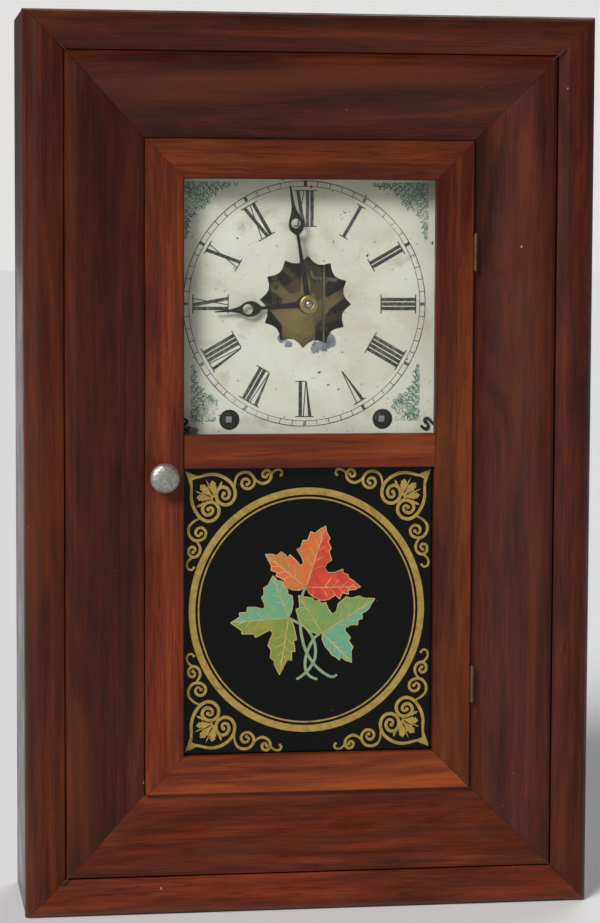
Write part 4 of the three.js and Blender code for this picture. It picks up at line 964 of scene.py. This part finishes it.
def make_centre_washer(brass, steel):
    low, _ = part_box("centre_arbor")
    front = low.y + 1.4 * MM
    profile = [(2.4, 0.1), (2.4, -0.5), (4.6, -0.6), (6.4, -0.35), (6.95, 0.1), (6.95, 1.2)]
    profile += [(2.4, 1.2), (2.4, 0.1)]
    ring = [(r * MM, front + y * MM) for r, y in profile]
    lathe("hand_washer", ring, 40, brass, "minute_arbor", DIAL_CENTRE)
    tip = [(0, -2), (1.2, -1.9), (2.2, -1.5), (2.5, -1), (2.5, 0), (0, 0)]
    tip = [(r * MM, front + y * MM) for r, y in tip]
    lathe("arbor_tip", tip, 24, steel, "minute_arbor", DIAL_CENTRE)

OGEE_WIDTH = 59  # the section as drawn, in millimetres; it is scaled to the moulding
OGEE_CREST, OGEE_RUN, OGEE_DEPTH = 9, 45, 15.75  # where its long S starts, how wide it is and how deep
# Where each opened joint starts and ends, in sixtieths of the S.
CRACKS = {"bottom_left": (3, 36), "top_left": (4, 50), "top_right": (2, 26), "bottom_right": (6, 40)}

def make_mitre_cracks():
    """The opened joints at the corners of the ogee moulding: a dark line down its section."""
    dark = print_ink("joint_shadow", (0.01, 0.004, 0.002), 0.25, 0.55, (0.06, 0.016, 0.006))
    bottom_low, bottom_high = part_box("ogee_moulding_bottom")
    left_low, left_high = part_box("ogee_moulding_left")
    width = Vector((left_high.x - left_low.x, bottom_high.z - bottom_low.z))
    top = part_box("ogee_moulding_top")[1].z
    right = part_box("ogee_moulding_right")[1].x
    unit = (left_high.x - left_low.x) / OGEE_WIDTH
    for corner, (start, end) in CRACKS.items():
        points = []
        for i in range(start, end):
            share = i / 60
            reach = (OGEE_CREST + OGEE_RUN * share) * unit / width.x
            depth = OGEE_DEPTH * MM * (1 - math.cos(math.pi * share)) / 2
            dx, dz = width.x * reach, width.y * reach
            x = left_low.x + dx if "left" in corner else right - dx
            z = bottom_low.z + dz if "bottom" in corner else top - dz
            points.append(Vector((x, left_low.y + depth, z)))
        bm = bmesh.new()
        tube(bm, points, 0.5 * MM, 6)
        from_bmesh(f"mitre_crack_{corner}", bm, dark, "root", smooth=True)

# The bent wire of a hook, from the case towards the dial's corner, in millimetres.
HOOK = (
    (7, -1.5), (3.5, 0.4), (1.8, 2.6), (0, 3.6), (-1.8, 2.6), (-1.6, 0.6), (0.4, -0.6), (0.8, -2.6),
    (-0.8, -4.2), (-2.8, -3.6), (-4.6, -2),
)

def make_dial_hooks(black):
    """Bent wires that hold the dial's lower corners to the case."""
    y = DIAL_FACE - 1.1 * MM
    line = smooth_line(HOOK, 4)
    for side, sign in (("right", 1), ("left", -1)):
        x, z = DIAL_CENTRE[0] + sign * 91 * MM, DIAL_CENTRE[1] - 88.5 * MM
        points = [Vector((x + sign * p.x * MM, y, z + p.y * MM)) for p in line]
        bm = bmesh.new()
        tube(bm, points, 1.05 * MM, 8)
        from_bmesh(f"dial_hook_{side}", bm, black, "root", smooth=True)

def tube(bm, points, radius, sides=8):
    """A closed tube along points, added to bm."""
    rings = []
    last = len(points) - 1
    normal = None
    for i, point in enumerate(points):
        tangent = (points[min(i + 1, last)] - points[max(i - 1, 0)]).normalized()
        if normal is None:
            normal = tangent.orthogonal().normalized()
        normal = (normal - tangent * normal.dot(tangent)).normalized()
        binormal = tangent.cross(normal)
        around = [normal * math.cos(a) + binormal * math.sin(a) for a in angles(sides)]
        rings.append([bm.verts.new(point + radius * offset) for offset in around])
    for a, b in zip(rings, rings[1:]):
        for k in range(sides):
            j = (k + 1) % sides
            bm.faces.new((a[k], a[j], b[j], b[k]))
    bm.faces.new(rings[0][::-1])
    bm.faces.new(rings[-1])

def rope(name, route, material, body, strands=3, lay=5.5 * MM, radius=1.15 * MM):
    """A laid cord: strands wound round a route that lies in a plane of constant y."""
    dense = []
    for a, b in zip(route, route[1:]):
        count = max(1, round((b - a).length / (0.9 * MM)))
        dense += [a.lerp(b, k / count) for k in range(count)]
    dense.append(route[-1])
    bm = bmesh.new()
    across = Vector((0, 1, 0))
    strand_radius = radius * 0.52
    for strand in range(strands):
        length = 0.0
        points = []
        for i, point in enumerate(dense):
            if i:
                length += (point - dense[i - 1]).length
            step = (dense[min(i + 1, len(dense) - 1)] - dense[max(i - 1, 0)]).normalized()
            side = step.cross(across)
            angle = 2 * math.pi * (length / lay + strand / strands)
            points.append(point + (side * math.cos(angle) + across * math.sin(angle)) * radius * 0.48)
        tube(bm, points, strand_radius, 5)
    return from_bmesh(name, bm, material, body, smooth=True)

COIL_RADIUS, GROOVE_RADIUS = 13.55 * MM, 20 * MM  # of a cord's centre, on its drum and on its pulley
COIL_ANGLE = 2.2  # how far a cord lies round its drum, in radians

def make_cords(material):
    """Each cord as two laid pieces: drum to pulley, and the fall from the pulley down to its weight."""
    for train, sign in (("time", 1), ("strike", -1)):
        pulley = centre_of(f"{train}_pulley")
        drum = centre_of(f"{train}_drum")
        _, weight_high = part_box(f"{train}_weight")
        y = pulley.y
        rise = Vector((sign * (pulley.x - drum.x), pulley.z - drum.z))
        lean = math.asin((GROOVE_RADIUS - COIL_RADIUS) / rise.length)
        touch = math.atan2(rise.y, rise.x) + math.pi / 2 + lean

        def arc(centre, radius, angle, sign=sign, y=y):
            across, up = radius * math.cos(angle), radius * math.sin(angle)
            return Vector((centre.x + sign * across, y, centre.z + up))

        route = [arc(drum, COIL_RADIUS, touch + COIL_ANGLE * (1 - i / 14)) for i in range(15)]
        route += [arc(pulley, GROOVE_RADIUS, touch * (1 - i / 20)) for i in range(21)]
        upper = rope(f"{train}_cord_laid", route, material, "root")
        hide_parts(f"{train}_cord")
        top = arc(pulley, GROOVE_RADIUS, 0)
        end = Vector((top.x, y, weight_high.z + 2.9 * MM))
        fall = rope(f"{train}_cord_fall", [top, end], material, "root")
        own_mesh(fall)

make_camera()
make_light()
make_floor()
dress_case()
brass, steel, black = dress_metal()
dress(["dial_glass"], clear_glass())
make_dial()
make_tablet()
make_knob()
make_bob(brass)
make_centre_washer(brass, steel)
make_cords(cotton())
make_dial_hooks(black)
make_mitre_cracks()
